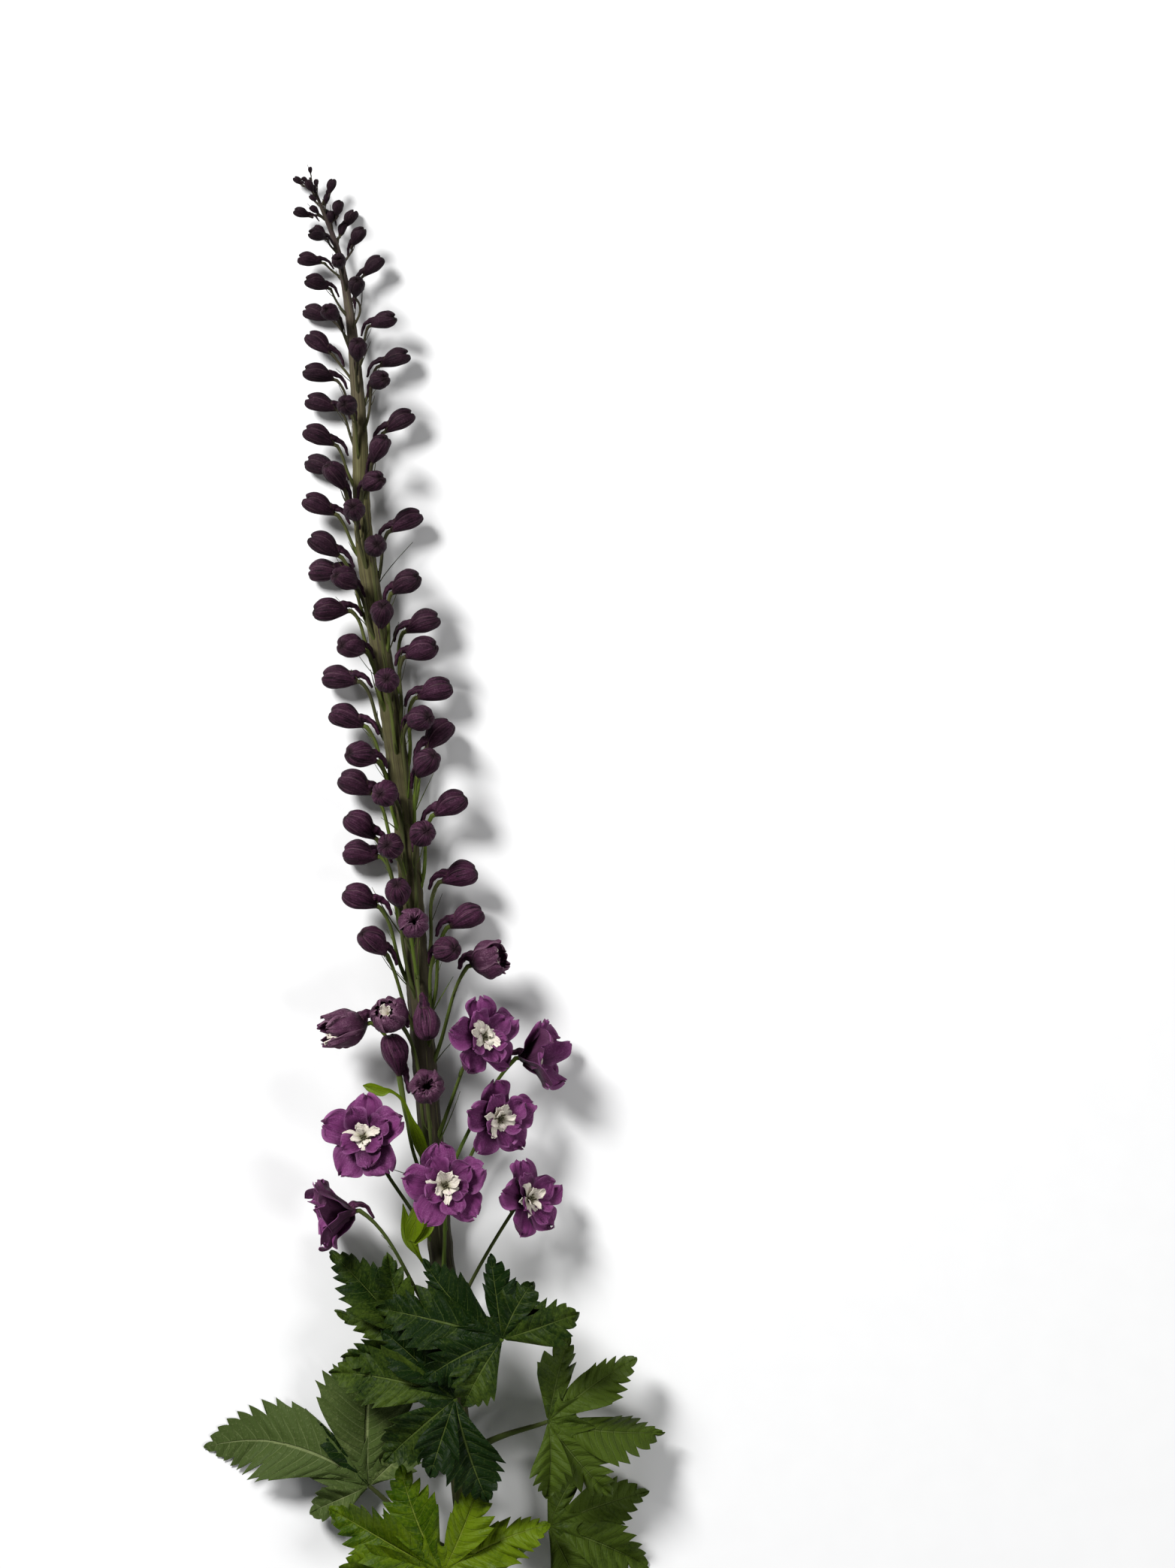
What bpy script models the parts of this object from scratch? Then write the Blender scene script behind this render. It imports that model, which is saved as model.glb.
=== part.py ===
"""A cut delphinium flower spike, lying on a flat surface with its tip towards +Y.

The stem is one piece from its cut end up through the flowering part, with a thin stalk and a bract
for each floret. The florets follow a golden-angle spiral: tight buds at the tip, full buds
below them, then opening buds and open blooms. Palmate leaves stand below the florets.
Metres, +Z up. The origin is the middle of the bottom of the whole flower's box.
"""

import math

import bmesh
import bpy
import numpy
from mathutils import Matrix, Vector

MM = 0.001
Z_UP = Vector((0.0, 0.0, 1.0))

# The stem's middle line, from the cut end to the tip: x to the right, y along, z above the surface.
STEM_LINE = [
    (60, -400, 6.2),
    (54.4, -342, 7.2),
    (46.4, -259, 9),
    (38.4, -175, 11.5),
    (32.8, -112, 14),
    (25.2, -17, 15),
    (20.4, 44, 15),
    (12.8, 106, 14.5),
    (4.4, 159, 14),
    (-3.2, 213, 13),
    (-5.2, 269, 12),
    (-9.6, 321, 11),
    (-16.4, 359, 10),
    (-25.2, 383, 9.5),
    (-32, 400, 9),
]
CENTRE_SHIFT = Vector((-35.1, 0.0, 0.0)) * MM  # moves everything so that the origin is the box's middle

TIP_RADIUS = 0.6 * MM
STEM_SWELL = 6.0 * MM  # how much thicker than the tip the old stem is
SWELL_LENGTH = 175 * MM  # how far below the tip the stem has gained two thirds of that

# The spiral of the florets, counted from the tip downwards.
SPIRAL_COUNT = 63
SPIRAL_LENGTH = 474.8 * MM
SPIRAL_START = 187.9  # degrees
GOLDEN_ANGLE = 137.5  # degrees
YOUNG_SPACING = 0.864  # 1 spaces the florets evenly, less crowds them at the tip
TURN_JITTER = 30  # degrees
TURN_SHARE = 0.65  # the surface below pushes the florets round to the upper side of the stem
SEED = 21000
TIP_FLORETS = 35  # the youngest, one body with the upper end of the stem

GAP = 0.3 * MM  # between nodes that touch on the real flower
BLADE = 0.7 * MM  # thickness of a petal
LEAF_BLADE = 0.8 * MM

COLOURS = {
    "stem_green": ((0.085, 0.085, 0.035), 0.55),
    "tip_purple": ((0.030, 0.017, 0.028), 0.60),
    "bud_purple": ((0.060, 0.020, 0.060), 0.55),
    "petal_purple": ((0.200, 0.042, 0.200), 0.55),
    "bee_white": ((0.700, 0.660, 0.580), 0.60),
    "leaf_green": ((0.050, 0.095, 0.028), 0.50),
    "bract_green": ((0.120, 0.200, 0.030), 0.50),
}


def clear_scene():
    for thing in list(bpy.data.objects):
        bpy.data.objects.remove(thing)


def make_materials():
    made = {}
    for name, (colour, roughness) in COLOURS.items():
        material = bpy.data.materials.new(name)
        material.use_nodes = True
        shader = material.node_tree.nodes["Principled BSDF"]
        shader.inputs["Base Color"].default_value = (*colour, 1.0)
        shader.inputs["Roughness"].default_value = roughness
        made[name] = material
    return made


def smooth_step(low, high, value):
    share = min(max((value - low) / (high - low), 0.0), 1.0)
    return share * share * (3 - 2 * share)


def bezier(a, b, c, d, t):
    return a * (1 - t)**3 + b * 3 * t * (1 - t)**2 + c * 3 * t**2 * (1 - t) + d * t**3


# The stem's line as a smooth curve, measured from the tip.
def smooth_line(points, steps=12):
    """Points of a Catmull-Rom curve through the given ones."""
    ends = [2 * points[0] - points[1], *points, 2 * points[-1] - points[-2]]
    line = []
    for before, a, b, after in zip(ends, ends[1:], ends[2:], ends[3:]):
        for step in range(steps):
            t = step / steps
            line.append(
                0.5 * (2 * a + (b - before) * t + (2 * before - 5 * a + 4 * b - after) * t**2
                       + (3 * a - before - 3 * b + after) * t**3)
            )
    return [*line, points[-1]]


class Stem:
    """The stem's middle line. Distances run down from the tip, in metres."""

    def __init__(self):
        knots = [Vector(p) * MM + CENTRE_SHIFT for p in reversed(STEM_LINE)]
        self.points = smooth_line(knots)
        self.distances = [0.0]
        for a, b in zip(self.points, self.points[1:]):
            self.distances.append(self.distances[-1] + (b - a).length)
        self.length = self.distances[-1]

    def at(self, distance):
        distance = min(max(distance, 0.0), self.length)
        place = next(i for i, d in enumerate(self.distances[1:], 1) if d >= distance)
        a, b = self.points[place - 1], self.points[place]
        share = (distance - self.distances[place - 1]) / (b - a).length
        return a.lerp(b, share)

    def frame(self, distance):
        """The point there, the way to the tip, the way to the right and the way up."""
        towards_tip = (self.at(distance - 4 * MM) - self.at(distance + 4 * MM)).normalized()
        right = towards_tip.cross(Z_UP).normalized()
        return self.at(distance), towards_tip, right, right.cross(towards_tip)

    def radius(self, distance):
        return TIP_RADIUS + STEM_SWELL * (1 - math.exp(-distance / SWELL_LENGTH))


# The florets.
class Floret:
    """A bud or bloom: where it leaves the stem, where its base is and the way that it faces."""

    def __init__(self, name, kind, stem, root, base, facing, length, width, pinned=False):
        self.name = name
        self.kind = kind
        self.root = root  # distance down from the tip
        self.base = base
        self.facing = facing.normalized()
        self.length = length
        self.width = width
        self.pinned = pinned
        self.bow = Vector((0.0, 0.0, 0.0))  # how far the stalk bends aside for its neighbours
        self.axis_point, self.towards_tip, _, _ = stem.frame(root)
        self.stem_radius = stem.radius(root)
        across = self.towards_tip - self.facing * self.towards_tip.dot(self.facing)
        self.dorsal = across.normalized()

    def is_open(self):
        return self.kind in PETAL_LAYERS

    def outwards(self):
        away = self.base - self.axis_point
        return (away - self.towards_tip * away.dot(self.towards_tip)).normalized()

    def stalk_end(self):
        return self.base - self.facing * GAP

    def stalk_point(self, t):
        """The stalk sets off along the stem, bends out and comes to the floret from below."""
        start = self.axis_point + self.outwards() * 0.75 * self.stem_radius
        neck = self.stalk_end() - self.facing * 1.6 * MM
        span = (neck - start).length
        along = self.towards_tip - self.facing * min(0.0, self.towards_tip.dot(self.facing))
        first = start + (self.towards_tip * 0.85 + self.outwards() * 0.5) * span * 0.4
        second = neck - (along * 0.9 + self.facing * 0.35) * span * 0.3
        return bezier(start, first + self.bow, second + self.bow, neck, t)

    def stalk_radius(self):
        return (0.55 + 0.45 * smooth_step(0, 300 * MM, self.root)) * MM

    def spur_length(self):
        if self.is_open():
            return 14 * MM
        room = (self.base - self.axis_point).dot(self.outwards()) - self.stem_radius
        share = 0.45 if self.kind == "opening" else 0.66
        return min(share * self.length, 11.5 * MM, max(0.0, room) * 1.5)

    def spur_points(self):
        """It leaves the base on the dorsal side, runs back and bends down along its stalk."""
        width = 13 * MM if self.is_open() else self.width
        spur = self.spur_length()
        down = (-self.towards_tip - self.facing * 0.5).normalized()
        first = self.base + self.facing * 0.2 * self.length + self.dorsal * 0.17 * width
        second = self.base + self.facing * 0.02 * self.length + self.dorsal * 0.34 * width
        third = second - self.facing * 0.36 * spur + down * 0.12 * spur
        return [first, second, third, third + down * 0.56 * spur]

    def spheres(self):
        """Round balls that stand for the floret where neighbours are kept apart."""
        side = self.dorsal.cross(self.facing)
        if self.is_open():
            for turn in range(0, 360, 60):
                arm = self.dorsal * math.cos(math.radians(turn)) + side * math.sin(math.radians(turn))
                yield self.base + self.facing * 7 * MM + arm * 0.33 * self.width, 0.2 * self.width
            yield self.base + self.facing * 4 * MM, 5 * MM
        else:
            for along, thick in ((0.22, 0.80), (0.50, 1.0), (0.76, 0.85)):
                yield self.base + self.facing * along * self.length, thick * self.width / 2
        for place in self.spur_points()[2:]:
            yield place, 1.5 * MM


def bud_length(root):
    return 20.5 * MM * (1 - math.exp(-(root + 26 * MM) / (75 * MM)))


def bud_width(root):
    return bud_length(root) * (0.60 + 0.12 * smooth_step(150 * MM, 380 * MM, root))


def spiral_florets(stem):
    """The buds, by the golden angle, from the tip downwards."""
    draw = numpy.random.default_rng(SEED)
    jitters = draw.uniform(-1, 1, SPIRAL_COUNT) * TURN_JITTER
    leans = draw.uniform(46, 84, SPIRAL_COUNT)
    florets = []
    for number in range(SPIRAL_COUNT):
        share = (number + 0.5) / SPIRAL_COUNT
        root = SPIRAL_LENGTH * (YOUNG_SPACING * share + (1 - YOUNG_SPACING) * share**2)
        point, towards_tip, right, up = stem.frame(root)
        reach = 6.7 * MM * (0.5 + 0.5 * smooth_step(0, 50 * MM, root)) + 0.049 * root
        rise = 11.6 * MM * (0.4 + 0.6 * smooth_step(0, 110 * MM, root)) + 0.082 * root
        turn = SPIRAL_START + GOLDEN_ANGLE * number + jitters[number]
        turn = math.radians(((turn + 180) % 360 - 180) * TURN_SHARE)
        outwards = right * math.sin(turn) + up * math.cos(turn)
        lean = math.radians(leans[number] * (0.5 + 0.5 * smooth_step(0, 60 * MM, root)))
        facing = towards_tip * math.cos(lean) + outwards * math.sin(lean)
        middle = point + towards_tip * rise + outwards * reach
        length = bud_length(root)
        floret = Floret(f"bud_{number + 1:02d}", "bud", stem, root, middle - facing * length / 2,
                        facing, length, bud_width(root))
        florets.append(floret)
    return florets


# The oldest florets: kind, root below the tip, middle (x, y, z), the way that it faces, length, width.
# A bloom's length is the depth of its cup and its width is its diameter.
LOWER_FLORETS = [
    ("opening_bud_front", "opening", 440, (25, 2, 43), (0.15, 0.25, 1), 17, 15),
    ("opening_bud_right", "opening", 480, (64, -18, 29), (0.9, 0.3, 0.35), 21, 19),
    ("opening_bud_left", "opening", 530, (-10, -54, 28), (-1, -0.2, 0.35), 22, 19),
    ("opening_bud_cup", "opening", 525, (13, -47, 42), (-0.5, 0.5, 0.75), 19, 19),
    ("rising_bud", "bud", 545, (14, -68, 30), (-0.25, 0.95, 0.2), 24, 15),
    ("nodding_bud", "bud", 435, (31, -50, 42), (0.2, -0.85, 0.3), 22, 15),
    ("opening_bud_low", "opening", 540, (32, -84, 46), (0.05, 0.15, 1), 17, 17),
    ("bloom_left", "bloom", 575, (-1, -111, 46), (-0.2, 0.15, 1), 12, 46),
    ("bloom_side", "trumpet", 622, (-12, -152, 29), (-0.95, -0.1, 0.15), 12, 42),
    ("bloom_upper_right", "bloom", 520, (62, -58, 42), (0.5, 0.1, 0.8), 12, 42),
    ("bloom_deep_right", "trumpet", 545, (86, -70, 21), (0.95, 0.1, 0.3), 12, 40),
    ("bloom_middle_right", "bloom", 560, (70, -102, 34), (0.5, -0.1, 0.85), 12, 42),
    ("bloom_front", "bloom", 590, (42, -136, 52), (0.05, 0.1, 1), 12, 45),
    ("bloom_lower_right", "bloom", 615, (86, -145, 30), (0.7, 0.2, 0.7), 12, 42),
]


def lower_florets(stem):
    florets = []
    for name, kind, root, middle, facing, length, width in LOWER_FLORETS:
        facing = Vector(facing).normalized()
        base = Vector(middle) * MM + CENTRE_SHIFT - facing * length * MM / 2
        floret = Floret(name, kind, stem, root * MM, base, facing, length * MM, width * MM, True)
        florets.append(floret)
    return florets


def spread_apart(stem, florets, rounds=40):
    """Neighbouring florets and stalks lean away from each other until they are clear."""
    for _ in range(rounds):
        balls = [list(floret.spheres()) for floret in florets]
        stalks = [[floret.stalk_point(t) for t in (0.33, 0.5, 0.67, 0.84, 1.0)] for floret in florets]
        pushes = [Vector((0.0, 0.0, 0.0)) for _ in florets]
        bends = [Vector((0.0, 0.0, 0.0)) for _ in florets]
        for i, first in enumerate(florets):
            for j, second in enumerate(florets):
                if i == j or (first.base - second.base).length > 75 * MM:
                    continue
                if i < j:
                    for a, a_radius in balls[i]:
                        for b, b_radius in balls[j]:
                            away = a - b
                            crossing = a_radius + b_radius + 0.8 * MM - away.length
                            if crossing > 0:
                                push = away.normalized() * crossing
                                pushes[i] += push * (0.0 if first.pinned else 0.35)
                                pushes[j] -= push * (0.0 if second.pinned else 0.35)
                for a in stalks[i]:
                    for b, b_radius in balls[j]:
                        away = a - b
                        crossing = b_radius + first.stalk_radius() + 1.4 * MM - away.length
                        if crossing > 0:
                            push = away.normalized() * crossing
                            bends[i] += push * 0.5
                            pushes[j] -= push * (0.0 if second.pinned else 0.25)
            for a, a_radius in balls[i]:
                near = min(range(0, len(stem.points), 3),
                           key=lambda k: (stem.points[k] - a).length_squared)
                near = min(range(max(0, near - 3), min(len(stem.points), near + 4)),
                           key=lambda k: (stem.points[k] - a).length_squared)
                away = a - stem.points[near]
                crossing = a_radius + stem.radius(stem.distances[near]) + 0.8 * MM - away.length
                if crossing > 0 and not first.pinned:
                    pushes[i] += away.normalized() * crossing * 0.5
                if a.z < a_radius and not first.pinned:
                    pushes[i].z += (a_radius - a.z) * 0.5
        for floret, push, bend in zip(florets, pushes, bends):
            floret.base += push
            floret.bow += bend


# Meshes.
def weld(mesh):
    """Joins a converted curve's caps to its sides."""
    work = bmesh.new()
    work.from_mesh(mesh)
    bmesh.ops.remove_doubles(work, verts=work.verts, dist=0.001 * MM)
    bmesh.ops.recalc_face_normals(work, faces=work.faces)
    work.to_mesh(mesh)
    work.free()


def tube(name, points, radii, resolution=0):
    """A tapering tube through the points, with four sides, or two more for each step of resolution."""
    curve = bpy.data.curves.new(name, "CURVE")
    curve.dimensions = "3D"
    curve.bevel_depth = MM
    curve.bevel_resolution = resolution
    curve.use_fill_caps = True
    spline = curve.splines.new("POLY")
    spline.points.add(len(points) - 1)
    for place, point, radius in zip(spline.points, points, radii):
        place.co = (*point, 1.0)
        place.radius = radius / MM
    source = bpy.data.objects.new(name, curve)
    bpy.context.scene.collection.objects.link(source)
    bpy.context.view_layer.update()
    evaluated = source.evaluated_get(bpy.context.evaluated_depsgraph_get())
    mesh = bpy.data.meshes.new_from_object(evaluated)
    weld(mesh)
    made = bpy.data.objects.new(name, mesh)
    made.matrix_world = source.matrix_world
    bpy.data.objects.remove(source)
    bpy.context.scene.collection.objects.link(made)
    return made


def mesh_object(name, work):
    mesh = bpy.data.meshes.new(name)
    bmesh.ops.recalc_face_normals(work, faces=work.faces)
    work.to_mesh(mesh)
    work.free()
    made = bpy.data.objects.new(name, mesh)
    bpy.context.scene.collection.objects.link(made)
    return made


def settle(made):
    """Puts an object's modifiers into its mesh."""
    bpy.context.view_layer.update()
    evaluated = made.evaluated_get(bpy.context.evaluated_depsgraph_get())
    mesh = bpy.data.meshes.new_from_object(evaluated)
    made.modifiers.clear()
    made.data = mesh
    return made


def keep_outside(mesh):
    """Fills the hollows that joining sealed, by keeping only the outermost skin."""
    work = bmesh.new()
    work.from_mesh(mesh)
    left = set(work.faces)
    skins = []
    while left:
        skin, edge = set(), [left.pop()]
        while edge:
            face = edge.pop()
            skin.add(face)
            for near in (f for e in face.edges for f in e.link_faces if f in left):
                left.discard(near)
                edge.append(near)
        skins.append(skin)
    outside = max(skins, key=lambda skin: sum(face.calc_area() for face in skin))
    inside = [face for skin in skins if skin is not outside for face in skin]
    bmesh.ops.delete(work, geom=inside, context="FACES")
    work.to_mesh(mesh)
    work.free()


def joined(name, pieces):
    """One body of pieces that overlap."""
    first, others = pieces[0], pieces[1:]
    if others:
        group = bpy.data.collections.new(name + "_pieces")
        bpy.context.scene.collection.children.link(group)
        for piece in others:
            group.objects.link(piece)
        union = first.modifiers.new("join", "BOOLEAN")
        union.operation = "UNION"
        union.operand_type = "COLLECTION"
        union.collection = group
        union.solver = "MANIFOLD"
        settle(first)
        for piece in others:
            bpy.data.objects.remove(piece)
        bpy.data.collections.remove(group)
        keep_outside(first.data)
    first.name = name
    first.data.name = name
    return first


def finished(made, material, parts):
    """Gives a node its material and its place among the parts."""
    made.data.materials.clear()
    made.data.materials.append(material)
    for collection in list(made.users_collection):
        collection.objects.unlink(made)
    parts.objects.link(made)
    made.data.shade_smooth()
    made.data.set_sharp_from_angle(angle=math.radians(35))
    return made


def press_on_surface(made):
    """Flattens what would lie under the surface into a small flat spot."""
    for vertex in made.data.vertices:
        vertex.co.z = max(vertex.co.z, 0.0)


def place_floret(made, floret):
    """Turns a shape drawn along +Z, with its dorsal side on +Y, the way that the floret faces."""
    side = floret.dorsal.cross(floret.facing).normalized()
    turn = Matrix((side, floret.facing.cross(side), floret.facing)).transposed().to_4x4()
    made.data.transform(Matrix.Translation(floret.base) @ turn)


# The stalks.
def make_stalk(floret):
    points = [floret.stalk_point(i / 3) for i in range(4)] + [floret.stalk_end()]
    thin = floret.stalk_radius()
    return tube("stalk", points, [1.4 * thin, 1.2 * thin, thin, thin, 1.1 * thin])


def make_young_stalk(floret):
    """A shorter one, which runs on into its bud."""
    thin = floret.stalk_radius()
    points = [floret.stalk_point(0), floret.stalk_point(0.55), floret.base + floret.facing * MM]
    return tube("stalk", points, [1.3 * thin, thin, thin])


# The buds.
def bud_outline(height):
    """The bud's radius at a share of its height, as a share of its greatest radius."""
    return math.sin(math.pi * min(max(height, 0.0), 1.0)**1.12)**0.70


def make_bud_body(length, width, sides=10, rings=4, lobes=5):
    """A closed bud of five sepals, drawn from its base up along +Z."""
    work = bmesh.new()
    bmesh.ops.create_uvsphere(work, u_segments=sides, v_segments=rings, radius=1.0)
    for vertex in work.verts:
        height = 0.5 + 0.5 * vertex.co.z
        angle = math.atan2(vertex.co.y, vertex.co.x)
        lobe = 1 + 0.07 * math.cos(lobes * (angle - math.pi / 2))
        flat = math.hypot(vertex.co.x, vertex.co.y) > 1e-6
        radius = width / 2 * bud_outline(height) * lobe if flat else 0.0
        dimple = 0.05 * length if height > 0.99 else 0.0
        vertex.co = (radius * math.cos(angle), radius * math.sin(angle), height * length - dimple)
    return mesh_object("bud_body", work)


def make_spur(floret):
    thick = 0.11 * (13 * MM if floret.is_open() else floret.width)
    return tube("spur", floret.spur_points(),
                [1.3 * thick, 1.3 * thick, thick, 0.45 * thick])


def make_bud(floret):
    body = make_bud_body(floret.length, floret.width)
    place_floret(body, floret)
    made = joined(floret.name, [body, make_spur(floret)])
    press_on_surface(made)
    return made


def make_opening_bud(floret, sides=10):
    """Five sepals that have begun to part at the tip: a cup with a notched rim."""
    rings = [(0.05, 0.44), (0.30, 0.95), (0.62, 1.0)]
    work = bmesh.new()
    rows = []
    for height, wide in rings:
        rows.append([])
        for side in range(sides):
            angle = 2 * math.pi * side / sides + math.pi / 2
            radius = wide * floret.width / 2 * (1 + 0.05 * math.cos(5 * (angle - math.pi / 2)))
            rows[-1].append(work.verts.new((radius * math.cos(angle), radius * math.sin(angle),
                                            height * floret.length)))
    rows.append([])
    for side in range(sides):
        angle = 2 * math.pi * side / sides + math.pi / 2
        tip = side % 2 == 0
        radius = (0.62 if tip else 0.86) * floret.width / 2
        height = 1.0 if tip else 0.80
        rows[-1].append(work.verts.new((radius * math.cos(angle), radius * math.sin(angle),
                                        height * floret.length)))
    base = work.verts.new((0, 0, 0))
    for side in range(sides):
        after = (side + 1) % sides
        work.faces.new((base, rows[0][after], rows[0][side]))
        for low, high in zip(rows, rows[1:]):
            work.faces.new((low[side], low[after], high[after], high[side]))
    bmesh.ops.triangulate(work, faces=work.faces)
    made = mesh_object("cup", work)
    shell = made.modifiers.new("blade", "SOLIDIFY")
    shell.thickness = BLADE * 1.3
    shell.offset = -1.0
    settle(made)
    place_floret(made, floret)
    made = joined(floret.name, [made, make_spur(floret)])
    press_on_surface(made)
    return made


# The open blooms.
def petal_point(across, along, length, width, cup, splay, curl):
    """A point of a petal drawn out from the flower's axis along +Y.

    across runs from -1 to 1 and along from 0 to 1. cup and splay are the angles from the flower's
    axis at which the petal leaves its base and ends, in degrees. curl lifts the two edges, as a
    share of the width.
    """
    steps = 12
    out, forward = 0.0, 0.0
    for step in range(steps):
        share = (step + 0.5) / steps * along
        lean = math.radians(cup + (splay - cup) * share)
        out += math.sin(lean) * length * along / steps
        forward += math.cos(lean) * length * along / steps
    half = width / 2 * (0.28 + 0.72 * math.sin(math.pi * min(1.0, 0.08 + 0.62 * along))**1.2)
    half *= math.sqrt(max(0.0, 1 - max(0.0, (along - 0.62) / 0.40)**2))
    lift = curl * width * across**2 * math.sin(math.pi * min(1.0, 0.2 + 0.6 * along))
    return Vector((across * half, 1.2 * MM + out, forward + lift))


def make_petal(turn, length, width, cup, splay, curl, height, rows):
    """A thin blade, turned about the flower's axis."""
    work = bmesh.new()
    grid = []
    turned = Matrix.Rotation(math.radians(turn), 3, "Z")
    for row in range(rows + 1):
        along = row / rows * 0.99
        line = [petal_point(x, along, length, width, cup, splay, curl) for x in (-1, 0, 1)]
        grid.append([work.verts.new(turned @ p + Vector((0, 0, height))) for p in line])
    for low, high in zip(grid, grid[1:]):
        for side in range(2):
            work.faces.new((low[side], low[side + 1], high[side + 1], high[side]))
    bmesh.ops.triangulate(work, faces=work.faces)
    made = mesh_object("petal", work)
    shell = made.modifiers.new("blade", "SOLIDIFY")
    shell.thickness = BLADE
    shell.offset = 0.0
    return settle(made)


def make_round(name, radius, low, high, sides=6, rings=4):
    """A small round body on the flower's axis."""
    work = bmesh.new()
    bmesh.ops.create_uvsphere(work, u_segments=sides, v_segments=rings, radius=1.0)
    for vertex in work.verts:
        vertex.co = (vertex.co.x * radius, vertex.co.y * radius,
                     low + (high - low) * (0.5 + 0.5 * vertex.co.z))
    return mesh_object(name, work)


# Each layer: turns about the axis, length and width as shares of the bloom's radius, the angles
# from the axis at the base and at the end, the edges' curl, height of the base in mm, rows.
PETAL_LAYERS = {
    "bloom": [
        ((0, 144), 0.98, 0.84, 60, 93, 0.03, 0.8, 3),
        ((216,), 0.98, 0.84, 60, 92, 0.03, 1.9, 3),
        ((72, 288), 0.98, 0.84, 60, 90, 0.06, 3.0, 3),
        ((36, 165, 250), 0.60, 0.50, 50, 62, 0.12, 4.2, 2),
    ],
    "trumpet": [
        ((0, 144), 1.1, 0.84, 42, 68, 0.03, 0.8, 3),
        ((216,), 1.1, 0.84, 42, 67, 0.03, 2.2, 3),
        ((72, 288), 1.1, 0.84, 42, 66, 0.06, 3.6, 3),
        ((36, 180), 0.6, 0.5, 32, 40, 0.10, 4.2, 2),
    ],
}


def make_bloom(floret):
    """Five broad sepals in two layers, smaller inner petals and a spur."""
    size = floret.width / 2
    pieces = [make_round("receptacle", 2.8 * MM, 0.0, 5.6 * MM, sides=5)]
    for turns, length, width, cup, splay, curl, height, rows in PETAL_LAYERS[floret.kind]:
        for turn in turns:
            pieces.append(make_petal(turn, length * size, width * size, cup, splay, curl,
                                     height * MM, rows))
    for piece in pieces:
        place_floret(piece, floret)
    pieces.append(make_spur(floret))
    made = joined(floret.name, pieces)
    press_on_surface(made)
    return made


def make_bee(floret, lobes=7):
    """The small white inmost petals: a star of upright lobes, thicker at its foot."""
    low = 5.6 * MM + GAP
    narrow = 0.62 if floret.kind == "trumpet" else 1.0
    work = bmesh.new()
    rings = []
    for thick in (0.0, 0.8 * MM):
        rings.append([])
        for number in range(2 * lobes):
            angle = math.pi * number / lobes + 0.3
            tip = number % 2 == 0
            long = (7.2, 6.0, 6.8)[number // 2 % 3] if tip else 2.6
            out, height = (long * 0.86 * narrow, long * 0.72) if tip else (long * narrow, 2.2)
            rings[-1].append(work.verts.new((out * MM * math.cos(angle), out * MM * math.sin(angle),
                                             low + height * MM + thick)))
    foot = work.verts.new((0, 0, low))
    heart = work.verts.new((0, 0, low + 1.8 * MM))
    for number in range(2 * lobes):
        after = (number + 1) % (2 * lobes)
        work.faces.new((foot, rings[0][after], rings[0][number]))
        work.faces.new((heart, rings[1][number], rings[1][after]))
        work.faces.new((rings[0][number], rings[0][after], rings[1][after], rings[1][number]))
    bmesh.ops.triangulate(work, faces=work.faces)
    made = mesh_object(floret.name.replace("bloom", "bee"), work)
    place_floret(made, floret)
    return made


# The leaves: name, root below the tip, where the ribs meet (x, y, z), tilt about the x and y axes in
# degrees, then each lobe's direction in degrees, its length and its width.
LEAVES = [
    ("leaf_left_pale", 745, (0, -300, 11), (0, 3),
     [(166, 90, 36), (128, 50, 22), (86, 62, 44), (40, 38, 20), (205, 40, 20)]),
    ("leaf_bright", 765, (40, -343, 31), (0, 3),
     [(183, 58, 26), (152, 68, 30), (112, 60, 28), (68, 52, 26), (24, 62, 28)]),
    ("leaf_dark", 700, (47, -249, 44), (-3, 6),
     [(170, 68, 30), (138, 52, 24), (104, 44, 22), (222, 50, 26), (288, 56, 30)]),
    ("leaf_curled", 655, (72, -216, 56), (-2, 8),
     [(168, 68, 30), (136, 58, 26), (98, 44, 22), (208, 46, 24), (20, 42, 24)]),
    ("leaf_upper_left", 640, (26, -222, 31), (0, 6),
     [(134, 66, 26), (158, 46, 14), (108, 50, 20), (190, 40, 18)]),
    ("leaf_right", 690, (96, -262, 36), (0, -12),
     [(-8, 62, 28), (34, 56, 26), (76, 46, 22), (-50, 52, 26), (-92, 40, 20)]),
    ("leaf_low_right", 760, (96, -322, 11), (0, -5),
     [(-24, 58, 26), (18, 56, 26), (60, 44, 22), (-66, 44, 22)]),
]
# The edge of a lobe from its base to its tip: share of the length, share of the half width.
LOBE_EDGE = [(0.54, 1.0), (0.58, 0.60), (0.80, 0.66), (0.83, 0.34)]
LOBE_RIB = [0.24, 0.50, 0.50, 0.76, 0.76]


def leaf_surface(flat, tilt, reach):
    """Lifts a point of the flat leaf: the blade arches, then droops to its tips."""
    distance = flat.length
    arch = 0.10 * distance - 0.0036 / MM * distance**2
    lean = flat.y * math.tan(math.radians(tilt[0])) + flat.x * math.tan(math.radians(tilt[1]))
    return Vector((flat.x, flat.y, arch + lean))


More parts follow.
